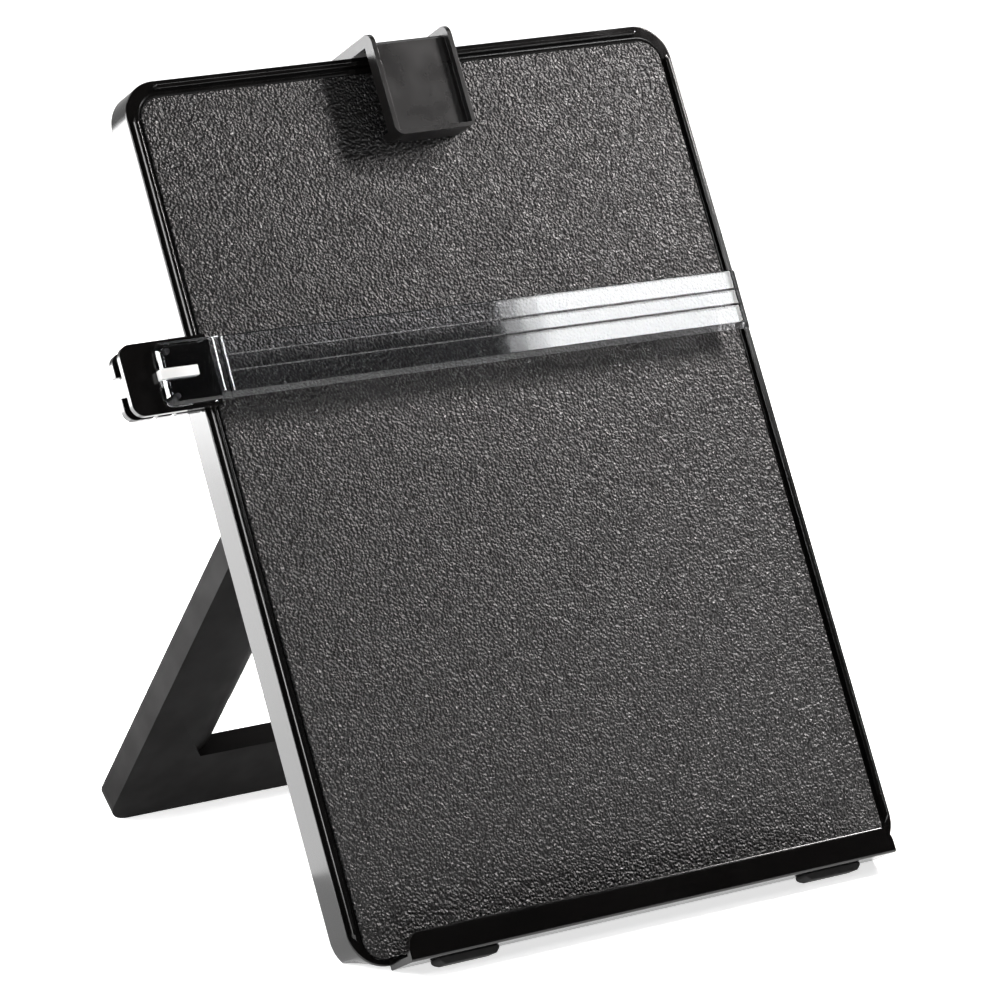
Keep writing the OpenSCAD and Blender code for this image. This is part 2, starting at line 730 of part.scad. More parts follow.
// A six-sided tube swept along a path, each ring square to the path there
module tube(path, r) {
    sides = 6;
    n = len(path);
    dir = [for (i = [0:n - 1]) let (v = path[min(i + 1, n - 1)] - path[max(i - 1, 0)]) v / norm(v)];
    rings = [for (i = [0:n - 1]) let (
        side = cross(dir[i], [1, 0, 0]),
        u = side / norm(side),
        v = cross(dir[i], u))
        [for (k = [0:sides - 1]) path[i] + r * (cos(360 * k / sides) * u + sin(360 * k / sides) * v)]];
    points = [for (ring = rings) for (p = ring) p];
    walls = [for (i = [0:n - 2]) for (k = [0:sides - 1]) let (
        a = i * sides + k, b = i * sides + (k + 1) % sides, c = a + sides, d = b + sides)
        each [[a, b, d], [a, d, c]]];
    first = [for (k = [1:sides - 2]) [0, k + 1, k]];
    last = [for (k = [1:sides - 2]) let (o = (n - 1) * sides) [o, o + k, o + k + 1]];
    polyhedron(points, concat(walls, first, last));
}

// The least gap between a spring's wire and itself, over path points half a curl or more apart
function least_gap(path, wire) = min([for (i = [0:len(path) - 1], j = [0:len(path) - 1])
    if (j > i + 4) norm(path[i] - path[j])]) - wire;

// One arm leans on the bracket's plate, the other on the thumb tab's underside
clip_pitch = 1.35;
clip_arm = 7.2;
clip_tab_arm = 10;
clip_coil = coil_path(clip_coil_r, clip_pitch, 242, 3210, clip_arm, clip_tab_arm);

module clip_spring() {
    echo(clip_spring_gap = least_gap(clip_coil, clip_wire));
    color("silver") on_board() translate([0, clip_axis_y, clip_axis_z]) tube(clip_coil, clip_wire / 2);
}

// One arm leans on the front lever, the other on the rear lever
guide_wire = 0.7;
guide_coil_r = 1.95;
guide_pitch = 1.3;
guide_arm = 7;
guide_coil = coil_path(guide_coil_r, guide_pitch, 91.6, 2336.8, guide_arm, guide_arm);

module guide_spring() {
    echo(guide_spring_gap = least_gap(guide_coil, guide_wire));
    color("silver") on_board() translate([-pin_x, guide_up, pin_z]) rotate(90)
        tube(guide_coil, guide_wire / 2);
}

// ---------- line guide ----------

// A lever plate seen from the front: its outer corners are round
module lever_outline(x1, x2, h, r) {
    translate([-x1 + r, -h / 2]) square([x1 - x2 - r, h]);
    translate([-x1, -h / 2 + r]) square([x1 - x2, h - 2 * r]);
    for (y = [-1, 1]) translate([-x1 + r, y * (h / 2 - r)]) circle(r);
}

module front_lever() {
    jaw_w = 2.4;
    color([0.08, 0.08, 0.08]) on_board() translate([0, guide_up, 0]) difference() {
        union() {
            translate([0, 0, plate_back]) linear_extrude(plate_t)
                lever_outline(lever_x, plate_end, lever_h, 4.5);
            translate([-plate_end - jaw_w, -lever_h / 2 + 1, rail_h + 0.15])
                cube([jaw_w, lever_h - 2, plate_back - rail_h]);
            for (y = [-8, 5.2]) translate([-pin_x, 0, pin_z]) {
                rod_y(y, y + 2.8, lever_knuckle_r);
                translate([-lever_knuckle_r, y, 0])
                    cube([2 * lever_knuckle_r, 2.8, plate_back - pin_z + 0.5]);
            }
        }
        translate([-pin_x, 0, pin_z]) rod_y(-lever_h, lever_h, guide_pin_d / 2 + run_gap);
        translate([0, -guide_up, 0]) bar_tilt() for (y = [-8, 8])
            translate([-block_x + 4.5, y, plate_back - 1]) cylinder(h = plate_t + 2, r = 1.2);
    }
}

// The clear bar hangs a little out of square with the levers
module bar_tilt() {
    translate([-pin_x, guide_up, 0]) rotate(-bar_droop) translate([pin_x, 0, 0]) children();
}

module bar_screws() {
    color("silver") on_board() bar_tilt()
        for (y = [-8, 8]) translate([-block_x + 4.5, y, plate_back - 0.02]) mirror([0, 0, 1])
            screw(2, 3.8, 1.2, plate_t + 1.6);
}

// The bar's section in (y, z): its lower front edge is bevelled like a ruler's
module bar_section(h, z1, z2) {
    bevel = 2;
    polygon([[h / 2, z1], [h / 2, z2], [bevel - h / 2, z2], [-h / 2, z2 - bevel * 0.8], [-h / 2, z1]]);
}

module guide_bar() {
    bar_z1 = block_z;
    bar_z2 = block_z + bar_t;
    edge = 0.9;
    color([0.75, 0.8, 0.85, 0.45]) on_board() bar_tilt() difference() {
        union() {
            hull() {
                translate([0, 0, block_z + 0.02]) linear_extrude(block_t - edge)
                    lever_outline(block_x, plate_end, block_h, 3);
                translate([0, 0, block_z + 0.02]) linear_extrude(block_t)
                    lever_outline(block_x - edge, plate_end + edge / 3, block_h - 2 * edge, 2.4);
            }
            across(-plate_end - 0.5, bar_end) bar_section(bar_h, bar_z1 + 0.02, bar_z2);
            translate([0.5 - plate_end, -block_h / 2 + 0.6, block_z - 1.6])
                cube([bar_step - 0.5, block_h - 1.2, 2.2]);
            translate([-block_x - 0.5, -tab_h / 2, block_z + 0.1]) cube([tab_len, tab_h, block_t + 0.15]);
        }
        for (y = [3.5, -2.2]) translate([-plate_end + bar_step + 0.5, y, bar_z2 - 0.3])
            cube([board_w, 0.5, 1]);
        for (y = [-8, 8]) translate([-block_x + 4.5, y, block_z - 1])
            cylinder(h = 1 + 1.7, r = 1 + run_gap);
        translate([0, bar_h, 0]) rotate([90, 0, 0]) linear_extrude(2 * bar_h)
            polygon([[bar_end - bar_bevel, bar_z2], [bar_end - bar_bevel, bar_z2 + 1],
                [bar_end + 1, bar_z2 + 1], [bar_end + 1, bar_z2 - bar_t * 0.8],
                [bar_end, bar_z2 - bar_t * 0.8]]);
    }
}

module rear_lever() {
    web_x = half_w + slide_gap;
    web_h = lever_h - 7.5;
    plate_h = lever_h - 1.4;
    knuckle_w = 3;
    hook_z = back_z - slide_gap - hook_t;
    handle_z = rear_front_z - rear_t;
    color([0.07, 0.07, 0.07]) on_board() translate([0, guide_up, 0]) difference() {
        union() {
            translate([0, 0, handle_z]) linear_extrude(rear_t)
                lever_outline(lever_x - 0.6, web_x, plate_h, 4);
            translate([-web_x - side_web_t, -web_h / 2, hook_z])
                cube([side_web_t, web_h, 0.4 - hook_z]);
            translate([-web_x - side_web_t, -web_h / 2, hook_z])
                cube([side_web_t + hook_reach, web_h, hook_t]);
            for (y = [-web_h / 2, web_h / 2 - 2]) translate([0, y + 2, 0]) rotate([90, 0, 0])
                linear_extrude(2) polygon([[-web_x - 1, rear_front_z - 1], [-lever_x + 8, rear_front_z - 1],
                    [-lever_x + 8, handle_z - 0.6], [-web_x - 1, hook_z + hook_t - 1]]);
            for (y = [-11.4, 8.4]) translate([-pin_x, 0, pin_z]) {
                rod_y(y, y + knuckle_w, lever_knuckle_r);
                translate([-lever_knuckle_r, y, rear_front_z - pin_z - 0.5])
                    cube([2 * lever_knuckle_r, knuckle_w, pin_z - rear_front_z + 0.5]);
            }
        }
        translate([-pin_x, 0, pin_z]) rod_y(-lever_h, lever_h, guide_pin_d / 2 + run_gap);
        translate([-lever_x, -3.6, handle_z - 1]) cube([3.4, 7.2, rear_t + 2]);
        for (x = [-lever_x + 11, -web_x - 12]) translate([x, -plate_h / 2 - 1, handle_z - 1])
            cube([1.6, 2, rear_t + 2]);
    }
}

module guide_pin() {
    reach = 11.9;
    color("silver") on_board() translate([-pin_x, guide_up, pin_z]) {
        rod_y(-reach, reach, guide_pin_d / 2);
        rod_y(reach, reach + 0.6, guide_pin_d / 2 + 0.7);
    }
}

front_shell();
face_panel();
rear_cover();
cover_screws();
ledge();
foot_pads();
easel_leg();
hinge_brackets();
hinge_screws();
leg_pins();
detent_springs();
clip_lever();
clip_bracket();
clip_screws();
clip_pin();
clip_spring();
guide_bar();
front_lever();
bar_screws();
rear_lever();
guide_pin();
guide_spring();
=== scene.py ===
"""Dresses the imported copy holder: a leaning board with a ledge, an easel leg, a paper
clip and a clear line guide. Lengths of the board's own pieces are in millimetres in the
board's frame: x to the right, y up the board from its lower edge, z out of its front.
board_to_world() turns them into the shared frame in metres."""

import json
import math

import bmesh
import bpy
import numpy as np
from bpy.props import FloatProperty, FloatVectorProperty, PointerProperty
from mathutils import Matrix, Vector


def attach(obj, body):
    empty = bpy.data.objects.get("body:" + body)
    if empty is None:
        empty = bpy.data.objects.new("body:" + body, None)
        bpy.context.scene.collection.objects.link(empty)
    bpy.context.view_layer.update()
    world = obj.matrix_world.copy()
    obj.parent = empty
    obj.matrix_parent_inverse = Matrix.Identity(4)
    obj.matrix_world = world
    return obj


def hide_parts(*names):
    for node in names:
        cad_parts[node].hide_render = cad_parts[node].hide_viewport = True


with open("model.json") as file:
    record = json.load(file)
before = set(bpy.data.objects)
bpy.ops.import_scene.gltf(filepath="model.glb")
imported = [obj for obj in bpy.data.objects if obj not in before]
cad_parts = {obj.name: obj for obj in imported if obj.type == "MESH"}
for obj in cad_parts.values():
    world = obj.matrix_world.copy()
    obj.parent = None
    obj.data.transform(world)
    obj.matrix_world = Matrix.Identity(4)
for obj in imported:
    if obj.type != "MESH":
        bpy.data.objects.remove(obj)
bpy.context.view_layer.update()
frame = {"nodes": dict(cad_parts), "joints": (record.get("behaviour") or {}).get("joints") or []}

bl_info = {
    "name": "Copy holder with line guide",
    "version": (1, 0, 0),
    "blender": (4, 5, 0),
    "location": "3D View > Sidebar > Copy holder",
    "description": "Builds the visible pieces of a desktop copy holder around its CAD frame",
    "category": "Add Mesh",
}

MM = 0.001
JOINTS = {joint["name"]: joint for joint in frame["joints"]}


# ---------- the board's frame ----------

# The guide's pin: how far up the board, how far left of its middle and in front of its rim
GUIDE_UP, PIN_X, PIN_Z = 211.5, 121.0, 2.0
UP = np.array(JOINTS["guide_slide"]["axis"], float)
RIGHT = np.array([1.0, 0.0, 0.0])
OUT = np.cross(RIGHT, UP)
ORIGIN = (np.array(JOINTS["guide_slide"]["pos_m"], float) / MM + PIN_X * RIGHT
          - GUIDE_UP * UP - PIN_Z * OUT)


def board_to_world(x, y, z):
    """World point in metres = origin + x right + y up the board + z out of its front."""
    x, y, z = np.broadcast_arrays(np.asarray(x, float), y, z)
    return (ORIGIN + x[..., None] * RIGHT + y[..., None] * UP + z[..., None] * OUT) * MM


def above_desk(points, height):
    """Points lower than the height, in millimetres, are lifted to it."""
    points = points.copy()
    points[..., 2] = np.maximum(points[..., 2], height * MM)
    return points


# ---------- mesh making ----------

def grid_faces(rows, columns, wrap_columns=False):
    """Four-sided faces over a grid of points, whose rows may close on themselves."""
    i = np.arange(rows - 1)[:, None]
    j = np.arange(columns if wrap_columns else columns - 1)[None, :]
    next_j = (j + 1) % columns
    quads = np.stack([i * columns + j, i * columns + next_j, (i + 1) * columns + next_j,
                      (i + 1) * columns + j], axis=-1)
    return quads.reshape(-1, 4).tolist()


def mesh_object(name, points, faces, material, smooth_below=40.0):
    """A piece whose place is in its mesh. Faces meeting at less than the angle are smooth."""
    mesh = bpy.data.meshes.new(name)
    mesh.from_pydata(np.asarray(points, float).reshape(-1, 3).tolist(), [], faces)
    mesh.validate()
    work = bmesh.new()
    work.from_mesh(mesh)
    bmesh.ops.remove_doubles(work, verts=work.verts, dist=1e-6)
    bmesh.ops.recalc_face_normals(work, faces=work.faces)
    work.to_mesh(mesh)
    work.free()
    mesh.shade_smooth()
    mesh.set_sharp_from_angle(angle=math.radians(smooth_below))
    mesh.materials.append(material)
    piece = bpy.data.objects.new(name, mesh)
    bpy.context.scene.collection.objects.link(piece)
    return piece


def lofted(rings):
    """Points and faces of closed rings joined one to the next, with flat ends."""
    rings = np.asarray(rings, float)
    count, around = rings.shape[:2]
    faces = grid_faces(count, around, wrap_columns=True)
    faces.append(list(range(around))[::-1])
    faces.append([(count - 1) * around + k for k in range(around)])
    return rings.reshape(-1, 3), faces


def finish_piece(piece, body, slot, *nodes):
    """The piece rides on its body and stands for its nodes. Its slot is not used."""
    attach(piece, body)
    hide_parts(*nodes)


# The angles at which a rectangle's corner arcs start, anticlockwise from the lower left
QUARTERS = np.radians([180.0, 270.0, 0.0, 90.0])


def round_rectangle(half_w, low, high, radii, marks=(), steps=10):
    """Outline of a rectangle centred in x, from low to high, with a radius for each corner:
    lower left, lower right, upper right, upper left. Each corner is the arc centre plus
    the radius at an angle, and marks are heights at which the upright sides get a point
    too."""
    radii = np.broadcast_to(np.asarray(radii, float), 4)
    corners = ((-1, low, 1), (1, low, 1), (1, high, -1), (-1, high, -1))
    arcs = []
    turn = np.linspace(0.0, math.pi / 2, steps + 1)
    for r, start, (side, edge, inward) in zip(radii, QUARTERS, corners):
        angle = start + turn
        arcs.append(np.stack([side * (half_w - r) + r * np.cos(angle),
                              edge + inward * r + r * np.sin(angle)], axis=-1))
    marks = np.asarray(sorted(marks), float)
    right = np.stack([np.full(len(marks), half_w), marks], axis=-1)
    left = np.stack([np.full(len(marks), -half_w), marks[::-1]], axis=-1)
    return np.concatenate([arcs[0], arcs[1], right, arcs[2], arcs[3], left])


def rounding(radius, steps=4):
    """(inset, depth) pairs of a quarter round edge: inset runs from the radius to 0 as
    depth runs from 0 to the radius, along a circle. One more pair just past either end
    keeps the shading of the flat beside it flat."""
    angle = np.linspace(0.0, math.pi / 2, steps + 1)
    arc = np.stack([radius * (1 - np.sin(angle)), radius * (1 - np.cos(angle))], axis=-1)
    past = 1.25 * radius
    return np.concatenate([[[past, 0.0]], arc, [[0.0, past]]])


# The least radius that an outline's corners keep when they are drawn in
LEAST_RADIUS = 0.15


def slab(half_w, low, high, radii, z_back, z_front, edge_back, edge_front, centre_x=0.0,
         steps=10, edge_steps=4):
    """A flat plate of round-cornered outline with rounded edges: each ring is the outline
    drawn in by an inset, at a depth, and both follow a quarter circle at either face."""
    radii = np.broadcast_to(np.asarray(radii, float), 4)
    layers = []
    for inset, depth in rounding(edge_back, edge_steps):
        layers.append((inset, z_back + depth))
    for inset, depth in rounding(edge_front, edge_steps)[::-1]:
        layers.append((inset, z_front - depth))
    rings = []
    for inset, z in layers:
        outline = round_rectangle(half_w - inset, low + inset, high - inset,
                                  np.maximum(radii - inset, LEAST_RADIUS), steps=steps)
        rings.append(np.stack([outline[:, 0] + centre_x, outline[:, 1],
                               np.full(len(outline), z)], axis=-1))
    return lofted(rings)


def on_board(part):
    """A part's points taken from the board's frame to the world."""
    points, faces = part
    return board_to_world(points[:, 0], points[:, 1], points[:, 2]), faces


# Sides of a round wire's section, and points to a turn of a spring
WIRE_SIDES, TURN_STEPS = 12, 32


def swept_tube(path, radius):
    """A round wire along a path: each ring is the path's point plus the radius times the
    cosine and sine of an angle along two directions square to the path there."""
    path = np.asarray(path, float)
    along = np.gradient(path, axis=0)
    along /= np.linalg.norm(along, axis=1, keepdims=True)
    side = np.cross(along, RIGHT)
    side /= np.linalg.norm(side, axis=1, keepdims=True)
    other = np.cross(along, side)
    angle = np.linspace(0, 2 * math.pi, WIRE_SIDES, endpoint=False)[None, :, None]
    rings = path[:, None, :] + radius * (np.cos(angle) * side[:, None, :]
                                         + np.sin(angle) * other[:, None, :])
    return lofted(rings)


def swept_tube_along_y(path, radius):
    """A round wire along a path that curls about y: the same sweep with x and y changed
    over."""
    swapped = path[:, [1, 0, 2]]
    points, faces = swept_tube(swapped, radius)
    return points[:, [1, 0, 2]], [face[::-1] for face in faces]


# Points nearer than this, in metres, are one, and faces that turn less are one flat
MERGE_BELOW, FLAT_BELOW = 2e-6, math.radians(0.6)
# Edges sharper than this are rounded, in so many segments
BEVEL_ABOVE, BEVEL_SEGMENTS = math.radians(30.0), 2
# Width of the rounding on moulded pieces, on the leg and on the foot pads
MOULDED_EDGE, LEG_EDGE, PAD_EDGE = 0.35, 0.5, 0.4


def softened(node, name, width, material):
    """A copy of a CAD node, merged and with its flat faces made whole, whose sharp edges
    are rounded by a bevel of the width in millimetres."""
    source = frame["nodes"][node].data
    points = np.empty(len(source.vertices) * 3)
    source.vertices.foreach_get("co", points)
    corners = np.empty(len(source.loops), int)
    source.loops.foreach_get("vertex_index", corners)
    mesh = bpy.data.meshes.new(name)
    mesh.from_pydata(points.reshape(-1, 3).tolist(), [], corners.reshape(-1, 3).tolist())
    work = bmesh.new()
    work.from_mesh(mesh)
    bmesh.ops.remove_doubles(work, verts=work.verts, dist=MERGE_BELOW)
    bmesh.ops.dissolve_limit(work, angle_limit=FLAT_BELOW, verts=work.verts,
                             edges=work.edges)
    work.to_mesh(mesh)
    work.free()
    mesh.shade_smooth()
    mesh.materials.append(material)
    piece = bpy.data.objects.new(name, mesh)
    bpy.context.scene.collection.objects.link(piece)
    bevel = piece.modifiers.new("rounded_edges", "BEVEL")
    bevel.width = width * MM
    bevel.segments = BEVEL_SEGMENTS
    bevel.limit_method = "ANGLE"
    bevel.angle_limit = BEVEL_ABOVE
    bevel.harden_normals = True
    bevel.use_clamp_overlap = True
    return piece


# ---------- finishes ----------

# Noise scales in waves to the metre
CLOUDS, WEAR, HAZE, STREAKS = 35.0, 90.0, 60.0, 2200.0
STREAK_HEIGHT = 2e-5
# Shades of a plastic's clouds and of a steel's streaks, as parts of its colour
CLOUD_DARK, CLOUD_LIGHT, STREAK_DARK = 0.8, 1.2, 0.75
# The panel's valleys and the tops of its pebbles: their roughness, the painted shade of the
# valleys and the painted light on the tops, and the relief past which they are one or the other
VALLEY_ROUGH, TOP_ROUGH = 0.46, 0.28
VALLEY_PAINTED_SHADE, TOP_PAINTED_LIGHT, RELIEF = 0.3, 1.5, 0.35
# Moulded pieces: roughness from and to, waves of the skin to the metre, its height in metres
SKINS = {"gloss": (0.1, 0.17, 1500.0, 2e-6), "satin": (0.25, 0.33, 2600.0, 8e-6),
         "leg": (0.5, 0.62, 2200.0, 6e-6), "mark": (0.35, 0.5, 1500.0, 2e-6),
         "rubber": (0.7, 0.85, 1800.0, 3e-5)}


def node_material(name):
    """A new node material, its node tree, its principled shader and the output of its
    object coordinates."""
    material = bpy.data.materials.new(name)
    material.use_nodes = True
    tree = material.node_tree
    shader = tree.nodes["Principled BSDF"]
    place = tree.nodes.new("ShaderNodeTexCoord")
    return material, tree, shader, place.outputs["Object"]


def noise_at(tree, place, scale, detail=2.0):
    """Noise over the piece, so many waves to the metre."""
    noise = tree.nodes.new("ShaderNodeTexNoise")
    noise.inputs["Scale"].default_value = scale
    noise.inputs["Detail"].default_value = detail
    noise.inputs["Roughness"].default_value = 0.5
    tree.links.new(place, noise.inputs["Vector"])
    return noise.outputs["Fac"]


def between(tree, value, low, high, from_low=0.3, from_high=0.7):
    """The value stretched to run from low to high as it runs between the other two."""
    scaled = tree.nodes.new("ShaderNodeMapRange")
    scaled.inputs["From Min"].default_value = from_low
    scaled.inputs["From Max"].default_value = from_high
    scaled.inputs["To Min"].default_value = low
    scaled.inputs["To Max"].default_value = high
    tree.links.new(value, scaled.inputs["Value"])
    return scaled.outputs["Result"]


def mixed_colour(tree, factor, first, second):
    """One colour turning into another by the factor."""
    mix = tree.nodes.new("ShaderNodeMix")
    mix.data_type = "RGBA"
    mix.inputs["A"].default_value = (*first, 1.0)
    mix.inputs["B"].default_value = (*second, 1.0)
    tree.links.new(factor, mix.inputs["Factor"])
    return mix.outputs["Result"]


def bumped(tree, shader, height, distance):
    """The height, times the distance in metres, raised as bumps on the shader's normal."""
    bump = tree.nodes.new("ShaderNodeBump")
    bump.inputs["Strength"].default_value = 1.0
    bump.inputs["Distance"].default_value = distance
    tree.links.new(height, bump.inputs["Height"])
    tree.links.new(bump.outputs["Normal"], shader.inputs["Normal"])


def moulded_plastic(name, colour, rough_low, rough_high, skin_scale, skin_height,
                    specular=0.5):
    """Moulded plastic: faint clouds in its colour and gloss, and a fine skin of bumps."""
    material, tree, shader, place = node_material(name)
    colour = np.array(colour)
    shader.inputs["Specular IOR Level"].default_value = specular
    clouds = between(tree, noise_at(tree, place, CLOUDS), 0.0, 1.0)
    tree.links.new(mixed_colour(tree, clouds, colour * CLOUD_DARK, colour * CLOUD_LIGHT),
                   shader.inputs["Base Color"])
    wear = noise_at(tree, place, WEAR, detail=4.0)
    tree.links.new(between(tree, wear, rough_low, rough_high), shader.inputs["Roughness"])
    bumped(tree, shader, noise_at(tree, place, skin_scale), skin_height)
    return material


def pebbled_plastic(name, colour, pebble, height):
    """Plastic with a pebbled skin: its relief is noise less the distance from the middle of
    a smooth cell, both of the pebble's size in millimetres, with rougher valleys in painted shade
    and painted light on the pebbles' tops."""
    material, tree, shader, place = node_material(name)
    per_metre = 1.0 / (pebble * MM)
    cells = tree.nodes.new("ShaderNodeTexVoronoi")
    cells.feature = "SMOOTH_F1"
    cells.inputs["Scale"].default_value = per_metre
    cells.inputs["Smoothness"].default_value = 0.6
    tree.links.new(place, cells.inputs["Vector"])
    noise = noise_at(tree, place, per_metre, detail=1.0)
    relief = tree.nodes.new("ShaderNodeMath")
    relief.operation = "SUBTRACT"
    tree.links.new(noise, relief.inputs[0])
    tree.links.new(cells.outputs["Distance"], relief.inputs[1])
    colour = np.array(colour)
    tops = between(tree, relief.outputs[0], 0.0, 1.0, -RELIEF, RELIEF)
    # Painted shade: the colour darkens in the valleys; painted light: it brightens on the
    # pebbles' tops
    tree.links.new(mixed_colour(tree, tops, colour * VALLEY_PAINTED_SHADE, colour * TOP_PAINTED_LIGHT),
                   shader.inputs["Base Color"])
    tree.links.new(between(tree, tops, VALLEY_ROUGH, TOP_ROUGH, 0.0, 1.0),
                   shader.inputs["Roughness"])
    bumped(tree, shader, relief.outputs[0], height * MM)
    return material


def clear_plastic(name, colour):
    """Clear moulded plastic with the faintest haze."""
    material, tree, shader, place = node_material(name)
    shader.inputs["Base Color"].default_value = (*colour, 1.0)
    shader.inputs["Transmission Weight"].default_value = 1.0
    shader.inputs["IOR"].default_value = 1.49
    haze = noise_at(tree, place, HAZE, detail=3.0)
    tree.links.new(between(tree, haze, 0.01, 0.04), shader.inputs["Roughness"])
    return material


def steel(name, colour, rough_low, rough_high):
    """Drawn or pressed steel: fine streaks along x in its gloss and colour."""
    material, tree, shader, place = node_material(name)
    shader.inputs["Metallic"].default_value = 1.0
    stretch = tree.nodes.new("ShaderNodeMapping")
    stretch.inputs["Scale"].default_value = (0.15, 1.0, 1.0)
    tree.links.new(place, stretch.inputs["Vector"])
    streaks = noise_at(tree, stretch.outputs["Vector"], STREAKS, detail=3.0)
    colour = np.array(colour)
    shade = between(tree, streaks, 0.0, 1.0)
    tree.links.new(mixed_colour(tree, shade, colour * STREAK_DARK, colour),
                   shader.inputs["Base Color"])
    tree.links.new(between(tree, streaks, rough_low, rough_high), shader.inputs["Roughness"])
    bumped(tree, shader, streaks, STREAK_HEIGHT)
    return material


def pale_floor(name, colour):
    """The studio's plain pale floor, which glows a little, as a light table does."""
    material, _, shader, _ = node_material(name)
    shader.inputs["Base Color"].default_value = (*colour, 1.0)
    shader.inputs["Roughness"].default_value = 0.9
    shader.inputs["Specular IOR Level"].default_value = 0.1
    shader.inputs["Emission Color"].default_value = (1.0, 1.0, 1.0, 1.0)
    shader.inputs["Emission Strength"].default_value = 0.7
    return material


FINISHES = {}


def finish(name):
    """The material of that name, made once from the finish settings."""
    if name not in FINISHES:
        look = bpy.context.scene.holder_finish
        makers = {
            "gloss": lambda: moulded_plastic(name, look.gloss_colour, *SKINS[name]),
            "satin": lambda: moulded_plastic(name, look.satin_colour, *SKINS[name]),
            "leg": lambda: moulded_plastic(name, look.gloss_colour, *SKINS[name],
                                           specular=0.05),
            "pebbled": lambda: pebbled_plastic(name, look.panel_colour, look.pebble,
                                               look.pebble_height),
            "clear": lambda: clear_plastic(name, look.clear_colour),
            "mark": lambda: moulded_plastic(name, look.mark_colour, *SKINS[name]),
            "rubber": lambda: moulded_plastic(name, look.rubber_colour, *SKINS[name]),
            "blackened": lambda: steel(name, look.blackened_colour, 0.35, 0.5),
            "bright": lambda: steel(name, look.steel_colour, 0.2, 0.34),
        }
        FINISHES[name] = makers[name]()
    return FINISHES[name]


# ---------- settings ----------

class FinishSettings(bpy.types.PropertyGroup):
    """Colours and grain of the copy holder's materials."""
    gloss_colour: FloatVectorProperty(
        name="Black plastic", description="Colour of the shell, ledge, levers, leg and cover",
        subtype="COLOR", size=3, min=0.0, max=1.0, default=(0.0030, 0.0027, 0.0026))
    satin_colour: FloatVectorProperty(
        name="Clip plastic", description="Colour of the paper clip",
        subtype="COLOR", size=3, min=0.0, max=1.0, default=(0.0045, 0.0040, 0.0039))
    panel_colour: FloatVectorProperty(
        name="Panel plastic", description="Colour of the pebbled face panel",
        subtype="COLOR", size=3, min=0.0, max=1.0, default=(0.0050, 0.0045, 0.0044))
    clear_colour: FloatVectorProperty(
        name="Clear plastic", description="Tint of the line guide's bar",
        subtype="COLOR", size=3, min=0.0, max=1.0, default=(0.95, 0.97, 1.0))
    rubber_colour: FloatVectorProperty(
        name="Rubber", description="Colour of the foot pads",
        subtype="COLOR", size=3, min=0.0, max=1.0, default=(0.0040, 0.0037, 0.0036))
    blackened_colour: FloatVectorProperty(
        name="Blackened steel", description="Colour of the brackets and the bar's screws",
        subtype="COLOR", size=3, min=0.0, max=1.0, default=(0.09, 0.09, 0.095))
    mark_colour: FloatVectorProperty(
        name="Index mark", description="Colour of the painted mark on the clear block",
        subtype="COLOR", size=3, min=0.0, max=1.0, default=(0.85, 0.85, 0.84))
    steel_colour: FloatVectorProperty(
        name="Bright steel", description="Colour of the pins, screws and springs",
        subtype="COLOR", size=3, min=0.0, max=1.0, default=(0.62, 0.61, 0.59))
    pebble: FloatProperty(
        name="Pebble", description="Size of the panel's pebbles in millimetres",
        default=1.0, min=0.5, max=4.0)
    pebble_height: FloatProperty(
        name="Pebble height", description="Height of the panel's pebbles in millimetres",
        default=0.7, min=0.0, max=3.0)


class BoardSettings(bpy.types.PropertyGroup):
    """Sizes of the board and of its rounded edges, in millimetres."""
    width: FloatProperty(
        name="Width", description="Width of the board in millimetres", default=229.0)
    height: FloatProperty(
        name="Height", description="Height of the board in millimetres", default=318.0)
    depth: FloatProperty(
        name="Depth", description="Depth of the shell in millimetres", default=13.0)
    corner: FloatProperty(
        name="Corner", description="Radius of the corners in millimetres", default=13.5)
    rim_round: FloatProperty(
        name="Rim rounding", description="Radius of the rim's outer edge in millimetres",
        default=0.6)
    rail_round: FloatProperty(
        name="Rail rounding", description="Radius of the rails' edges in millimetres",
        default=0.35)
    panel_round: FloatProperty(
        name="Panel rounding", description="Radius of the panel's edge in millimetres",
        default=0.4)


class GuideSettings(bpy.types.PropertyGroup):
    """How the line guide hangs."""
    droop: FloatProperty(
        name="Droop", description="Droop of the bar's free end in degrees", default=0.9)


class StageSettings(bpy.types.PropertyGroup):
    """The studio round the copy holder."""
    lens: FloatProperty(
        name="Lens", description="Focal length on a 36 mm frame", default=176.06, min=20.0)
    floor_colour: FloatVectorProperty(
        name="Floor", description="Colour of the floor", subtype="COLOR", size=3,
        min=0.0, max=1.0, default=(0.86, 0.86, 0.86))


# ---------- board ----------

# Rails along the sides and the top: how far in they stand, their width and height, how
# much wider they are at the foot, and where they end before the corners and the ledge
RAIL_INSET, RAIL_W, RAIL_H, RAIL_DRAFT = 1.6, 1.9, 1.4, 0.35
RAIL_GAP, RAIL_LOW, RAIL_END = 14.2, 12.4, 0.5
# The groove inside the rails
GROOVE_W, GROOVE_D = 0.8, 0.7
# The panel's pocket, in from the sides, the top and the lower edge, and the panel in it
SIDE_IN, TOP_IN, PANEL_FOOT = 5.2, 6.2, 2.2
PANEL_T, PANEL_PROUD, PANEL_R, PANEL_GAP = 2.0, 0.5, 8.0, 0.1
POCKET_EDGE = 0.12
# The shell's walls, its front, the sole it stands on, and its back edges
WALL, FRONT_T, SOLE_H, DESK_GAP = 2.2, 3.0, 9.0, 0.3
BACK_ROUND, BACK_CHAMFER = 0.4, 0.2
# A hair's breadth between two rings where a wall stands upright
HAIR = 0.02
# Steps round each of the shell's corners
CORNER_STEPS = 24


def along_window(value, low, high, taper):
    """1 between low and high, 0 outside them, with straight ramps of the taper's length."""
    return np.clip(np.minimum(value - low, high - value) / taper + 1.0, 0.0, 1.0)


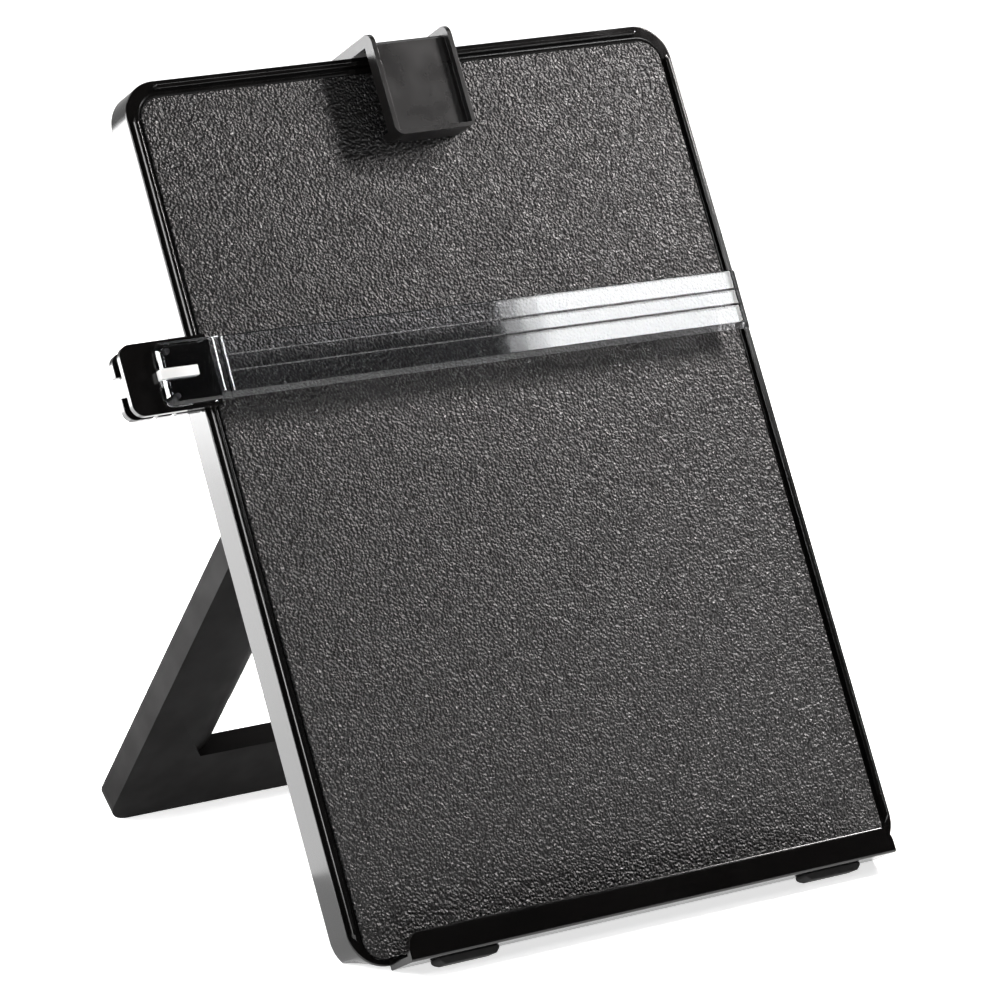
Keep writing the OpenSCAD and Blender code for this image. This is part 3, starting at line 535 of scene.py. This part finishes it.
class MESH_OT_board_shell(bpy.types.Operator):
    """Builds the board's shell: one profile carried round a round-cornered rectangle"""
    bl_idname = "mesh.board_shell"
    bl_label = "Board shell"

    def execute(self, context):
        size = context.scene.holder_board
        half, high, deep, corner = size.width / 2, size.height, size.depth, size.corner
        # Heights and places across where the long edges get points, more at the rails' ends
        rail_top = half - RAIL_GAP
        rail_end = np.array([-RAIL_END, 0.0, RAIL_END])
        marks = np.concatenate([np.linspace(30, high - 40, 24), high - RAIL_GAP + rail_end])
        across = np.concatenate([-rail_top + rail_end, np.linspace(-80, 80, 17),
                                 rail_top + rail_end])

        def ring(sides, foot, top, radius, z, raised=0.0, sunk=0.0):
            """The outline drawn in by those amounts at z, raised along the rails and sunk
            along the grooves."""
            outline = round_rectangle(half - sides, foot, high - top, radius, marks,
                                      steps=CORNER_STEPS)
            # The top edge's points go in before the last corner's arc
            upper = len(outline) - len(marks) - CORNER_STEPS - 1
            head = np.stack([across[::-1], np.full(len(across), high - top)], axis=-1)
            outline = np.concatenate([outline[:upper], head, outline[upper:]])
            x, y = outline[:, 0], outline[:, 1]
            on_side = (np.abs(x) > half - sides - 1.0) * along_window(
                y, RAIL_LOW, high - RAIL_GAP, RAIL_END)
            on_top = (y > high - top - 0.01) * along_window(x, -rail_top, rail_top, RAIL_END)
            lift = np.maximum(on_side, on_top)
            return np.stack([x, y, z + lift * (raised - sunk)], axis=-1)

        # The back opening's wall and its chamfered edge
        inset = WALL - BACK_CHAMFER
        rings = [ring(WALL, SOLE_H, WALL, corner - WALL, -FRONT_T),
                 ring(WALL, SOLE_H, WALL, corner - WALL, -deep + BACK_CHAMFER),
                 ring(inset, SOLE_H - BACK_CHAMFER, inset, corner - inset, -deep)]
        # The outer wall between its two rounded edges
        for inset, depth in rounding(BACK_ROUND, 3):
            rings.append(ring(inset, inset, inset, corner - inset, -deep + depth))
        for inset, depth in rounding(size.rim_round, 6)[::-1]:
            rings.append(ring(inset, inset, inset, corner - inset, -depth))
        # Up the rail's outer side and down its inner side
        outer, inner = RAIL_INSET, RAIL_INSET + RAIL_W
        rings.append(ring(outer - HAIR, outer - HAIR, outer - HAIR, corner - outer, 0.0))
        for inset, depth in rounding(size.rail_round, 4)[::-1]:
            inset += outer + RAIL_DRAFT * (RAIL_H - depth) / RAIL_H
            rings.append(ring(inset, outer, inset, corner - outer, 0.0, raised=RAIL_H - depth))
        for inset, depth in rounding(size.rail_round, 4):
            rings.append(ring(inner - inset, outer, inner - inset, corner - inner, 0.0,
                              raised=RAIL_H - depth))
        # Across the groove, whose lower ends close in small steps, and into the pocket
        far = inner + GROOVE_W
        rings.append(ring(inner, outer + 0.1, inner, corner - inner, 0.0, sunk=GROOVE_D))
        rings.append(ring(far, outer + 0.2, far, corner - far, 0.0, sunk=GROOVE_D))
        rings.append(ring(far + HAIR, outer + 0.2 + HAIR, far + HAIR, corner - far, 0.0))
        rings.append(ring(SIDE_IN - POCKET_EDGE, PANEL_FOOT - 0.1, TOP_IN - POCKET_EDGE,
                          PANEL_R, 0.0))
        rings.append(ring(SIDE_IN, PANEL_FOOT, TOP_IN, PANEL_R, -POCKET_EDGE))
        rings.append(ring(SIDE_IN, PANEL_FOOT, TOP_IN, PANEL_R, PANEL_PROUD - PANEL_T))
        points, faces = on_board(lofted(rings))
        piece = mesh_object("board_shell", above_desk(points, DESK_GAP), faces,
                            finish("gloss"), smooth_below=50.0)
        finish_piece(piece, "board", "black_plastic", "front_shell")
        return {"FINISHED"}


class MESH_OT_face_panel_skin(bpy.types.Operator):
    """Builds the pebbled face panel as a plate with a rounded edge"""
    bl_idname = "mesh.face_panel_skin"
    bl_label = "Face panel"

    def execute(self, context):
        size = context.scene.holder_board
        low, high = PANEL_FOOT + PANEL_GAP, size.height - TOP_IN - PANEL_GAP
        part = slab(size.width / 2 - SIDE_IN - PANEL_GAP, low, high, PANEL_R,
                    PANEL_PROUD - PANEL_T + HAIR, PANEL_PROUD, edge_back=0.1,
                    edge_front=size.panel_round)
        piece = mesh_object("panel_skin", *on_board(part), finish("pebbled"))
        finish_piece(piece, "board", "grained_plastic", "face_panel")
        return {"FINISHED"}


class MESH_OT_rear_pieces(bpy.types.Operator):
    """Softens the edges of the rear cover, the brackets and the screws"""
    bl_idname = "mesh.rear_pieces"
    bl_label = "Rear cover, brackets and screws"

    def execute(self, context):
        rows = [("rear_cover", "cover_plate", 0.25, "leg", "board", "black_plastic"),
                ("hinge_brackets", "hinge_plates", 0.2, "blackened", "board", "dark_steel"),
                ("clip_bracket", "clip_plate", 0.2, "blackened", "board", "dark_steel"),
                ("cover_screws", "cover_screw_heads", 0.12, "bright", "board", "bright_steel"),
                ("hinge_screws", "hinge_screw_heads", 0.12, "bright", "board", "bright_steel"),
                ("clip_screws", "clip_screw_heads", 0.12, "bright", "board", "bright_steel"),
                ("bar_screws", "bar_screw_heads", 0.08, "blackened", "guide_lever", "dark_steel"),
                ("leg_pins", "leg_hinge_pins", 0.2, "bright", "board", "bright_steel"),
                ("clip_pin", "clip_hinge_pin", 0.15, "bright", "board", "bright_steel"),
                ("guide_pin", "guide_hinge_pin", 0.15, "bright", "guide_carrier", "bright_steel"),
                ("detent_springs", "detent_leaves", 0.06, "bright", "board", "bright_steel")]
        for node, name, width, look, body, slot in rows:
            piece = softened(node, name, width, finish(look))
            finish_piece(piece, body, slot, node)
        return {"FINISHED"}


class MESH_OT_holder_ledge(bpy.types.Operator):
    """Softens the ledge's edges and builds the foot pads"""
    bl_idname = "mesh.holder_ledge"
    bl_label = "Ledge and feet"

    def execute(self, context):
        piece = softened("ledge", "ledge_lip", MOULDED_EDGE, finish("gloss"))
        finish_piece(piece, "board", "black_plastic", "ledge")
        pads = softened("foot_pads", "rubber_feet", PAD_EDGE, finish("rubber"))
        finish_piece(pads, "board", "black_rubber", "foot_pads")
        return {"FINISHED"}


# ---------- leg, clip and guide ----------

class MESH_OT_holder_leg(bpy.types.Operator):
    """Softens the edges of the easel leg"""
    bl_idname = "mesh.holder_leg"
    bl_label = "Easel leg"

    def execute(self, context):
        piece = softened("easel_leg", "leg_frame", LEG_EDGE, finish("leg"))
        finish_piece(piece, "leg", "black_plastic", "easel_leg")
        return {"FINISHED"}


# Torsion springs, in millimetres and degrees: the coil's radius and pitch, the angle it
# starts at and sweeps through, the length of its two arms, and the wire's radius
CLIP_COIL, CLIP_WIRE_R = (2.3, 1.35, 242.0, 3210.0, 7.2, 10.0), 0.4
GUIDE_COIL, GUIDE_WIRE_R = (1.95, 1.3, 91.6, 2336.8, 7.0, 7.0), 0.35
# The clip's pin, below the board's top edge and behind the shell
CLIP_PIN_DOWN, CLIP_PIN_BEHIND = 2.5, 3.3


def torsion_path(radius, pitch, start, sweep, arm1, arm2):
    """A torsion spring's centre line about x, in millimetres: a point at angle a is
    (pitch times the turns so far less half the coil's length, r cos a, r sin a), with a
    straight arm along the tangent at either end."""
    count = int(round(sweep / 360 * TURN_STEPS))
    angle = np.radians(start + sweep * np.arange(count + 1) / count)
    length = pitch * sweep / 360
    curls = np.stack([length * (np.linspace(0, 1, count + 1) - 0.5),
                      radius * np.cos(angle), radius * np.sin(angle)], axis=-1)
    first = np.array([0.0, np.sin(angle[0]), -np.cos(angle[0])])
    last = np.array([0.0, -np.sin(angle[-1]), np.cos(angle[-1])])
    # How far out along an arm its points lie, as parts of its length
    reach = np.array([1.0, 0.75, 0.5, 0.25, 0.1])[:, None]
    return np.concatenate([curls[0] + first * arm1 * reach, curls,
                           curls[-1] + last * arm2 * reach[::-1]])


class MESH_OT_holder_clip(bpy.types.Operator):
    """Softens the paper clip and winds its spring"""
    bl_idname = "mesh.holder_clip"
    bl_label = "Paper clip"

    def execute(self, context):
        piece = softened("clip_lever", "clip_jaw", MOULDED_EDGE, finish("satin"))
        finish_piece(piece, "clip", "clip_plastic", "clip_lever")
        size = context.scene.holder_board
        at = np.array([0.0, size.height - CLIP_PIN_DOWN, -size.depth - CLIP_PIN_BEHIND])
        wire = swept_tube(torsion_path(*CLIP_COIL) + at, CLIP_WIRE_R)
        spring = mesh_object("clip_spring_wire", *on_board(wire), finish("bright"))
        finish_piece(spring, "board", "bright_steel", "clip_spring")
        return {"FINISHED"}


# The clear block on the front lever: the x of its right and left ends, the z of its back,
# its height up the board and its thickness
PLATE_END, BLOCK_END, BLOCK_Z, BLOCK_H, BLOCK_T = -110.8, -132.4, 6.82, 22.6, 2.98
# The bar: the x of its right end, its height, the z of its face and its end bevel's length
BAR_END, BAR_H, BAR_FRONT, BAR_BEVEL = 109.5, 22.0, 9.2, 3.0
# The step under the bar's left end: its length, how far it stands in and its z from and to
STEP_L, STEP_IN, STEP_Z = 3.8, 0.6, (5.2, 7.4)
# V grooves along the bar: their places up from its middle, and (offset, depth) across one
GROOVES_AT = (3.75, -1.95)
GROOVE_SHAPE = ((0.55, 0.0), (0.4, 0.0), (0.0, 0.28), (-0.4, 0.0), (-0.55, 0.0))
# V grooves across the bar, in height over its back: their bottom and rims, and a height
# that the bar doesn't reach
CROSS_LOW, CROSS_RIM, CLEAR_OF = 2.1, 2.38, 9.0
# The index mark: half its length and width, how far it reaches past the block's left end,
# and how far its back and its face lie in front of the block's
MARK_L, MARK_H, MARK_OUT, MARK_SUNK, MARK_PROUD = 7.3, 1.8, 0.5, 0.08, 0.14


def tilted(part):
    """A part's points turned by the bar's droop about the guide's pin, lifted to the guide
    and taken to the world."""
    points, faces = part
    droop = -math.radians(bpy.context.scene.holder_guide.droop)
    x, y = points[:, 0] + PIN_X, points[:, 1]
    turned = (x * math.cos(droop) - y * math.sin(droop) - PIN_X,
              x * math.sin(droop) + y * math.cos(droop) + GUIDE_UP)
    return board_to_world(turned[0], turned[1], points[:, 2]), faces


def bar_section():
    """The bar's section in (y, z), anticlockwise from its lower back edge: a rectangle with a
    ruler's bevel along its lower front edge and two fine V grooves in its face."""
    half, back, front, soft = BAR_H / 2, BLOCK_Z, BAR_FRONT, 0.18
    turn = np.linspace(0, math.pi / 2, 4)
    upper = np.stack([half - soft + soft * np.sin(turn), front - soft + soft * np.cos(turn)],
                     axis=-1)[::-1]
    upper = np.concatenate([[[half, front - soft - 0.15]], upper,
                            [[half - soft - 0.15, front]]])
    grooves = [[at + offset, front - depth] for at in GROOVES_AT
               for offset, depth in GROOVE_SHAPE]
    lower = [[2.3 - half, front], [2.12 - half, front], [1.95 - half, front - 0.06],
             [1.8 - half, front - 0.174], [0.2 - half, front - 1.393],
             [0.06 - half, front - 1.5], [-half, front - 1.65], [0.1 - half, back]]
    return np.concatenate([[[half - 0.1, back], [half, back + 0.1]], upper, grooves, lower])


def bar_part():
    """The bar carried along x. At each station its height follows min(section, limit), and
    the limit dips at two V grooves across it and falls off over the bevel at its end."""
    section = bar_section()
    start = PLATE_END + 4.8
    bevel = BAR_END - BAR_BEVEL
    stations = [(PLATE_END - 0.5, CLEAR_OF), (PLATE_END + 0.5, CROSS_RIM),
                (PLATE_END + 0.9, CROSS_LOW), (PLATE_END + 1.3, CROSS_RIM),
                (PLATE_END + 1.5, CLEAR_OF), (start - 1.0, CLEAR_OF),
                (start - 0.8, CROSS_RIM), (start - 0.4, CROSS_LOW), (start, CROSS_RIM),
                (start + 0.3, CLEAR_OF), (bevel - 0.4, CLEAR_OF), (bevel - 0.1, CLEAR_OF),
                (bevel + 0.1, 2.33), (bevel + 0.4, 2.149), (BAR_END - 0.4, 0.821),
                (BAR_END - 0.1, 0.64), (BAR_END, 0.5)]
    rings = []
    for x, limit in stations:
        z = section[:, 1].copy()
        # The long grooves begin past the two across
        if x <= start:
            z[np.isin(section[:, 0], GROOVES_AT)] = BAR_FRONT
        rings.append(np.stack([np.full(len(z), x), section[:, 0],
                               np.minimum(z, limit + BLOCK_Z)], axis=-1))
    return lofted(rings)


def block_part():
    """The end block: at each depth a round-cornered outline is drawn in by an inset, and by
    a further length times its distance from the block's right end, which makes the wide
    left bevel."""
    layers = [(0.3, 0.0, 0.0), (0.12, 0.0, 0.0), (0.0, 0.12, 0.0),
              (0.0, BLOCK_T - 1.6, 0.0), (0.0, BLOCK_T - 1.5, 0.0),
              (0.06, BLOCK_T - 1.4, 0.09), (0.14, BLOCK_T - 1.3, 0.2),
              (1.0, BLOCK_T - 0.18, 1.47), (1.1, BLOCK_T - 0.08, 1.61),
              (1.22, BLOCK_T, 1.79), (1.4, BLOCK_T, 1.79)]
    middle, half = (PLATE_END + BLOCK_END) / 2, (PLATE_END - BLOCK_END) / 2
    rings = []
    for inset, depth, further in layers:
        outline = round_rectangle(half - inset * 2 / 3, inset - BLOCK_H / 2,
                                  BLOCK_H / 2 - inset, (3 - inset / 2, 0.4, 0.4, 3 - inset / 2))
        x = outline[:, 0] + middle - inset / 3
        x += further * (PLATE_END - x) / (PLATE_END - BLOCK_END)
        rings.append(np.stack([x, outline[:, 1], np.full(len(x), BLOCK_Z + depth)], axis=-1))
    return lofted(rings)


def clear_bar_parts():
    """The end block, the bar and the step under the bar's end."""
    step = slab(STEP_L / 2, STEP_IN - BLOCK_H / 2, BLOCK_H / 2 - STEP_IN, 0.3, *STEP_Z,
                edge_back=0.15, edge_front=0.05, centre_x=PLATE_END + 2.4, steps=3,
                edge_steps=2)
    return [block_part(), bar_part(), step]


def index_mark():
    """The raised mark across the block's left bevel: a low plate with rounded edges."""
    return slab(MARK_L, -MARK_H, MARK_H, 0.35, BLOCK_Z + MARK_SUNK,
                BLOCK_Z + BLOCK_T + MARK_PROUD, edge_back=0.05, edge_front=0.12,
                centre_x=BLOCK_END - MARK_OUT + MARK_L, steps=4, edge_steps=3)


def united(name, parts, material):
    """Closed shells made one, so that no wall is left inside the clear plastic."""
    first, *others = [mesh_object(f"{name}_{k}", *part, material)
                      for k, part in enumerate(parts)]
    for other in others:
        union = first.modifiers.new("union", "BOOLEAN")
        union.operation = "UNION"
        union.solver = "EXACT"
        union.object = other
    whole = first.evaluated_get(bpy.context.evaluated_depsgraph_get())
    mesh = bpy.data.meshes.new_from_object(whole)
    for piece in (first, *others):
        bpy.data.objects.remove(piece)
    mesh.name = name
    mesh.set_sharp_from_angle(angle=math.radians(25))
    piece = bpy.data.objects.new(name, mesh)
    bpy.context.scene.collection.objects.link(piece)
    return piece


class MESH_OT_holder_guide(bpy.types.Operator):
    """Builds the line guide: its clear bar, its two levers and its spring"""
    bl_idname = "mesh.holder_guide"
    bl_label = "Line guide"

    def execute(self, context):
        bar = united("clear_bar", [tilted(part) for part in clear_bar_parts()],
                     finish("clear"))
        finish_piece(bar, "guide_lever", "clear_plastic", "guide_bar")
        mark = mesh_object("index_mark", *tilted(index_mark()), finish("mark"))
        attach(mark, "guide_lever")
        plate = softened("front_lever", "front_plate", MOULDED_EDGE, finish("gloss"))
        finish_piece(plate, "guide_lever", "black_plastic", "front_lever")
        rear = softened("rear_lever", "rear_plate", MOULDED_EDGE, finish("gloss"))
        finish_piece(rear, "guide_carrier", "black_plastic", "rear_lever")
        path = torsion_path(*GUIDE_COIL)
        turned = np.stack([-path[:, 1], path[:, 0], path[:, 2]], axis=-1)
        path = turned + np.array([-PIN_X, GUIDE_UP, PIN_Z])
        wire = swept_tube_along_y(path, GUIDE_WIRE_R)
        spring = mesh_object("guide_spring_wire", *on_board(wire), finish("bright"))
        finish_piece(spring, "guide_carrier", "bright_steel", "guide_spring")
        return {"FINISHED"}


# ---------- stage ----------

# The camera solved from the picture: its place in metres and its turn in degrees
CAMERA_AT = np.array([-0.89714, -1.40650, 0.58947])
CAMERA_TURN = (74.6211, 0.0, -33.0035)
# The plane, near the bar's face, in which the next softboxes are seen, in millimetres in
# front of the board's rim
MIRROR_Z = 9.0
# Those seen in the bar, as x from and to in millimetres and radiance, and from where to
# where up the board they reach, in metres
BAR_GLOWS = ((22.0, 114.0, 12.0), (14.0, 22.0, 7.0), (6.0, 14.0, 3.0))
BAR_GLOW_UP = (0.186, 0.233)
# The one whose sheen lies on the board's right side: its spans in the plane, in metres
RIGHT_SPANS, RIGHT_COLOUR = (0.22, 0.4, 0.28, 0.54), (1.0, 0.965, 0.955)
# The block's left bevel: its x, its tilt in degrees and the spans of what is seen in it
BEVEL_X, BEVEL_TILT, BEVEL_SPANS = -131.4, 35.7, (-0.035, 0.035, -0.09, 0.09)
# The softboxes that stand free: a corner and two sides, in metres, and the radiance
OVERHEAD = ("overhead", (-2.0, 1.3, 2.6), (4.0, 0, 0), (0, 3.0, 0), 2.5)
STANDING = (("left_wall", (-0.62, 0.55, 0.0), (-0.09, -0.6, 0.0), (0, 0, 0.5), 9.0),
            ("back_card", (-0.50, 0.90, 0.0), (0.05, -0.38, 0.0), (0, 0, 0.3), 12.0),
            ("floor_card", (-0.75, 0.0, 0.002), (0, 0.85, 0), (0.62, 0, 0), 3.0),
            ("front_low", (-0.9, -1.1, 0.02), (0.9, -0.3, 0), (0, 0, 0.35), 0.7))
# The room's light near the horizon and above, and the rise over which one becomes the other
LOW_LIGHT, HIGH_LIGHT, RISE = 0.6, 0.02, (0.05, 0.25)


def softbox(name, corner, side_u, side_v, radiance, colour=(1.0, 1.0, 1.0)):
    """A softbox from its corner and two sides at right angles, in metres, shining against
    their cross product. Its power is the radiance times pi times its area."""
    corner, side_u, side_v = (np.asarray(v, float) for v in (corner, side_u, side_v))
    width, height = np.linalg.norm(side_u), np.linalg.norm(side_v)
    u, v = side_u / width, side_v / height
    data = bpy.data.lights.new(name, "AREA")
    data.shape = "RECTANGLE"
    data.size, data.size_y = width, height
    data.energy = radiance * math.pi * width * height
    data.color = colour
    lamp = bpy.data.objects.new(name, data)
    turn = Matrix((u, v, np.cross(u, v))).transposed().to_4x4()
    turn.translation = Vector(corner + side_u / 2 + side_v / 2)
    lamp.matrix_world = turn
    lamp.visible_camera = False
    bpy.context.scene.collection.objects.link(lamp)


def mirrored_softbox(name, plane_at, normal, u, v, spans, away, radiance,
                     colour=(1.0, 1.0, 1.0)):
    """A softbox parallel to a flat face, placed where the camera sees its reflection fill
    the spans (u from, u to, v from, v to, in metres from plane_at). The camera is mirrored
    in the face, and each corner lies on the ray from there through the face, that far
    in front of it."""
    plane_at, normal, u, v = (np.asarray(w, float) for w in (plane_at, normal, u, v))
    behind = CAMERA_AT - 2 * np.dot(CAMERA_AT - plane_at, normal) * normal
    grow = 1.0 + away / np.dot(plane_at - behind, normal)
    corners = [behind + (plane_at + a * u + b * v - behind) * grow
               for a, b in ((spans[0], spans[2]), (spans[1], spans[2]), (spans[0], spans[3]))]
    softbox(name, corners[0], corners[1] - corners[0], corners[2] - corners[0], radiance,
            colour)


class SCENE_OT_holder_stage(bpy.types.Operator):
    """Sets up the floor, the softboxes and the camera"""
    bl_idname = "scene.holder_stage"
    bl_label = "Stage"

    def execute(self, context):
        settings = context.scene.holder_stage
        side = np.linspace(-4.0, 4.0, 3)
        gx, gy = np.meshgrid(side, side)
        points = np.stack([gx, gy, np.zeros_like(gx)], axis=-1)
        floor = mesh_object("floor", points, grid_faces(3, 3),
                            pale_floor("pale_floor", settings.floor_colour))
        if floor.data.polygons[0].normal.z < 0:
            floor.data.flip_normals()
        softbox(*OVERHEAD)
        face = board_to_world(0.0, 0.0, MIRROR_Z)
        for low, high, glow in BAR_GLOWS:
            mirrored_softbox(f"bar_glow_{int(high)}", face, OUT, RIGHT, UP,
                             (low * MM, high * MM, *BAR_GLOW_UP), away=1.2, radiance=glow)
        mirrored_softbox("right_box", face, OUT, RIGHT, UP, RIGHT_SPANS, away=0.3,
                         radiance=88.0, colour=RIGHT_COLOUR)
        tilt = math.radians(BEVEL_TILT)
        mirrored_softbox("bevel_box", board_to_world(BEVEL_X, GUIDE_UP, MIRROR_Z),
                         OUT * math.cos(tilt) - RIGHT * math.sin(tilt),
                         RIGHT * math.cos(tilt) + OUT * math.sin(tilt), UP, BEVEL_SPANS,
                         away=0.9, radiance=30.0)
        for lamp in STANDING:
            softbox(*lamp)
        world = bpy.data.worlds.new("studio")
        world.use_nodes = True
        tree = world.node_tree
        place = tree.nodes.new("ShaderNodeTexCoord")
        split = tree.nodes.new("ShaderNodeSeparateXYZ")
        tree.links.new(place.outputs["Generated"], split.inputs["Vector"])
        strength = between(tree, split.outputs["Z"], LOW_LIGHT, HIGH_LIGHT, *RISE)
        tree.links.new(strength, tree.nodes["Background"].inputs["Strength"])
        tree.nodes["Background"].inputs["Color"].default_value = (1, 1, 1, 1)
        context.scene.world = world
        data = bpy.data.cameras.new("camera")
        data.sensor_width = 36.0
        data.lens = settings.lens
        camera = bpy.data.objects.new("camera", data)
        camera.location = tuple(CAMERA_AT)
        camera.rotation_euler = tuple(math.radians(turn) for turn in CAMERA_TURN)
        context.scene.collection.objects.link(camera)
        context.scene.camera = camera
        context.scene.view_settings.view_transform = "Standard"
        return {"FINISHED"}


# ---------- panel and registration ----------

STEPS = (MESH_OT_board_shell, MESH_OT_face_panel_skin, MESH_OT_rear_pieces,
         MESH_OT_holder_ledge, MESH_OT_holder_leg, MESH_OT_holder_clip,
         MESH_OT_holder_guide, SCENE_OT_holder_stage)
SETTINGS = {"holder_finish": FinishSettings, "holder_board": BoardSettings,
            "holder_guide": GuideSettings, "holder_stage": StageSettings}


class VIEW3D_PT_copy_holder(bpy.types.Panel):
    """Lists the settings and the steps in the 3D view's sidebar"""
    bl_idname = "VIEW3D_PT_copy_holder"
    bl_label = "Copy holder"
    bl_space_type = "VIEW_3D"
    bl_region_type = "UI"
    bl_category = "Copy holder"

    def draw(self, context):
        for name, group in SETTINGS.items():
            box = self.layout.box()
            for prop in group.__annotations__:
                box.prop(getattr(context.scene, name), prop)
        for step in STEPS:
            self.layout.operator(step.bl_idname)


def register():
    """Adds the settings, the steps and the panel."""
    for group in SETTINGS.values():
        bpy.utils.register_class(group)
    for name, group in SETTINGS.items():
        setattr(bpy.types.Scene, name, PointerProperty(type=group))
    for step in STEPS:
        bpy.utils.register_class(step)
    bpy.utils.register_class(VIEW3D_PT_copy_holder)


def unregister():
    """Takes them away again, in the other order."""
    bpy.utils.unregister_class(VIEW3D_PT_copy_holder)
    for step in reversed(STEPS):
        bpy.utils.unregister_class(step)
    for name, group in reversed(list(SETTINGS.items())):
        delattr(bpy.types.Scene, name)
        bpy.utils.unregister_class(group)


def main():
    """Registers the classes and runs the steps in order."""
    register()
    bpy.ops.mesh.board_shell()
    bpy.ops.mesh.face_panel_skin()
    bpy.ops.mesh.rear_pieces()
    bpy.ops.mesh.holder_ledge()
    bpy.ops.mesh.holder_leg()
    bpy.ops.mesh.holder_clip()
    bpy.ops.mesh.holder_guide()
    bpy.ops.scene.holder_stage()


if __name__ == "__main__":
    main()
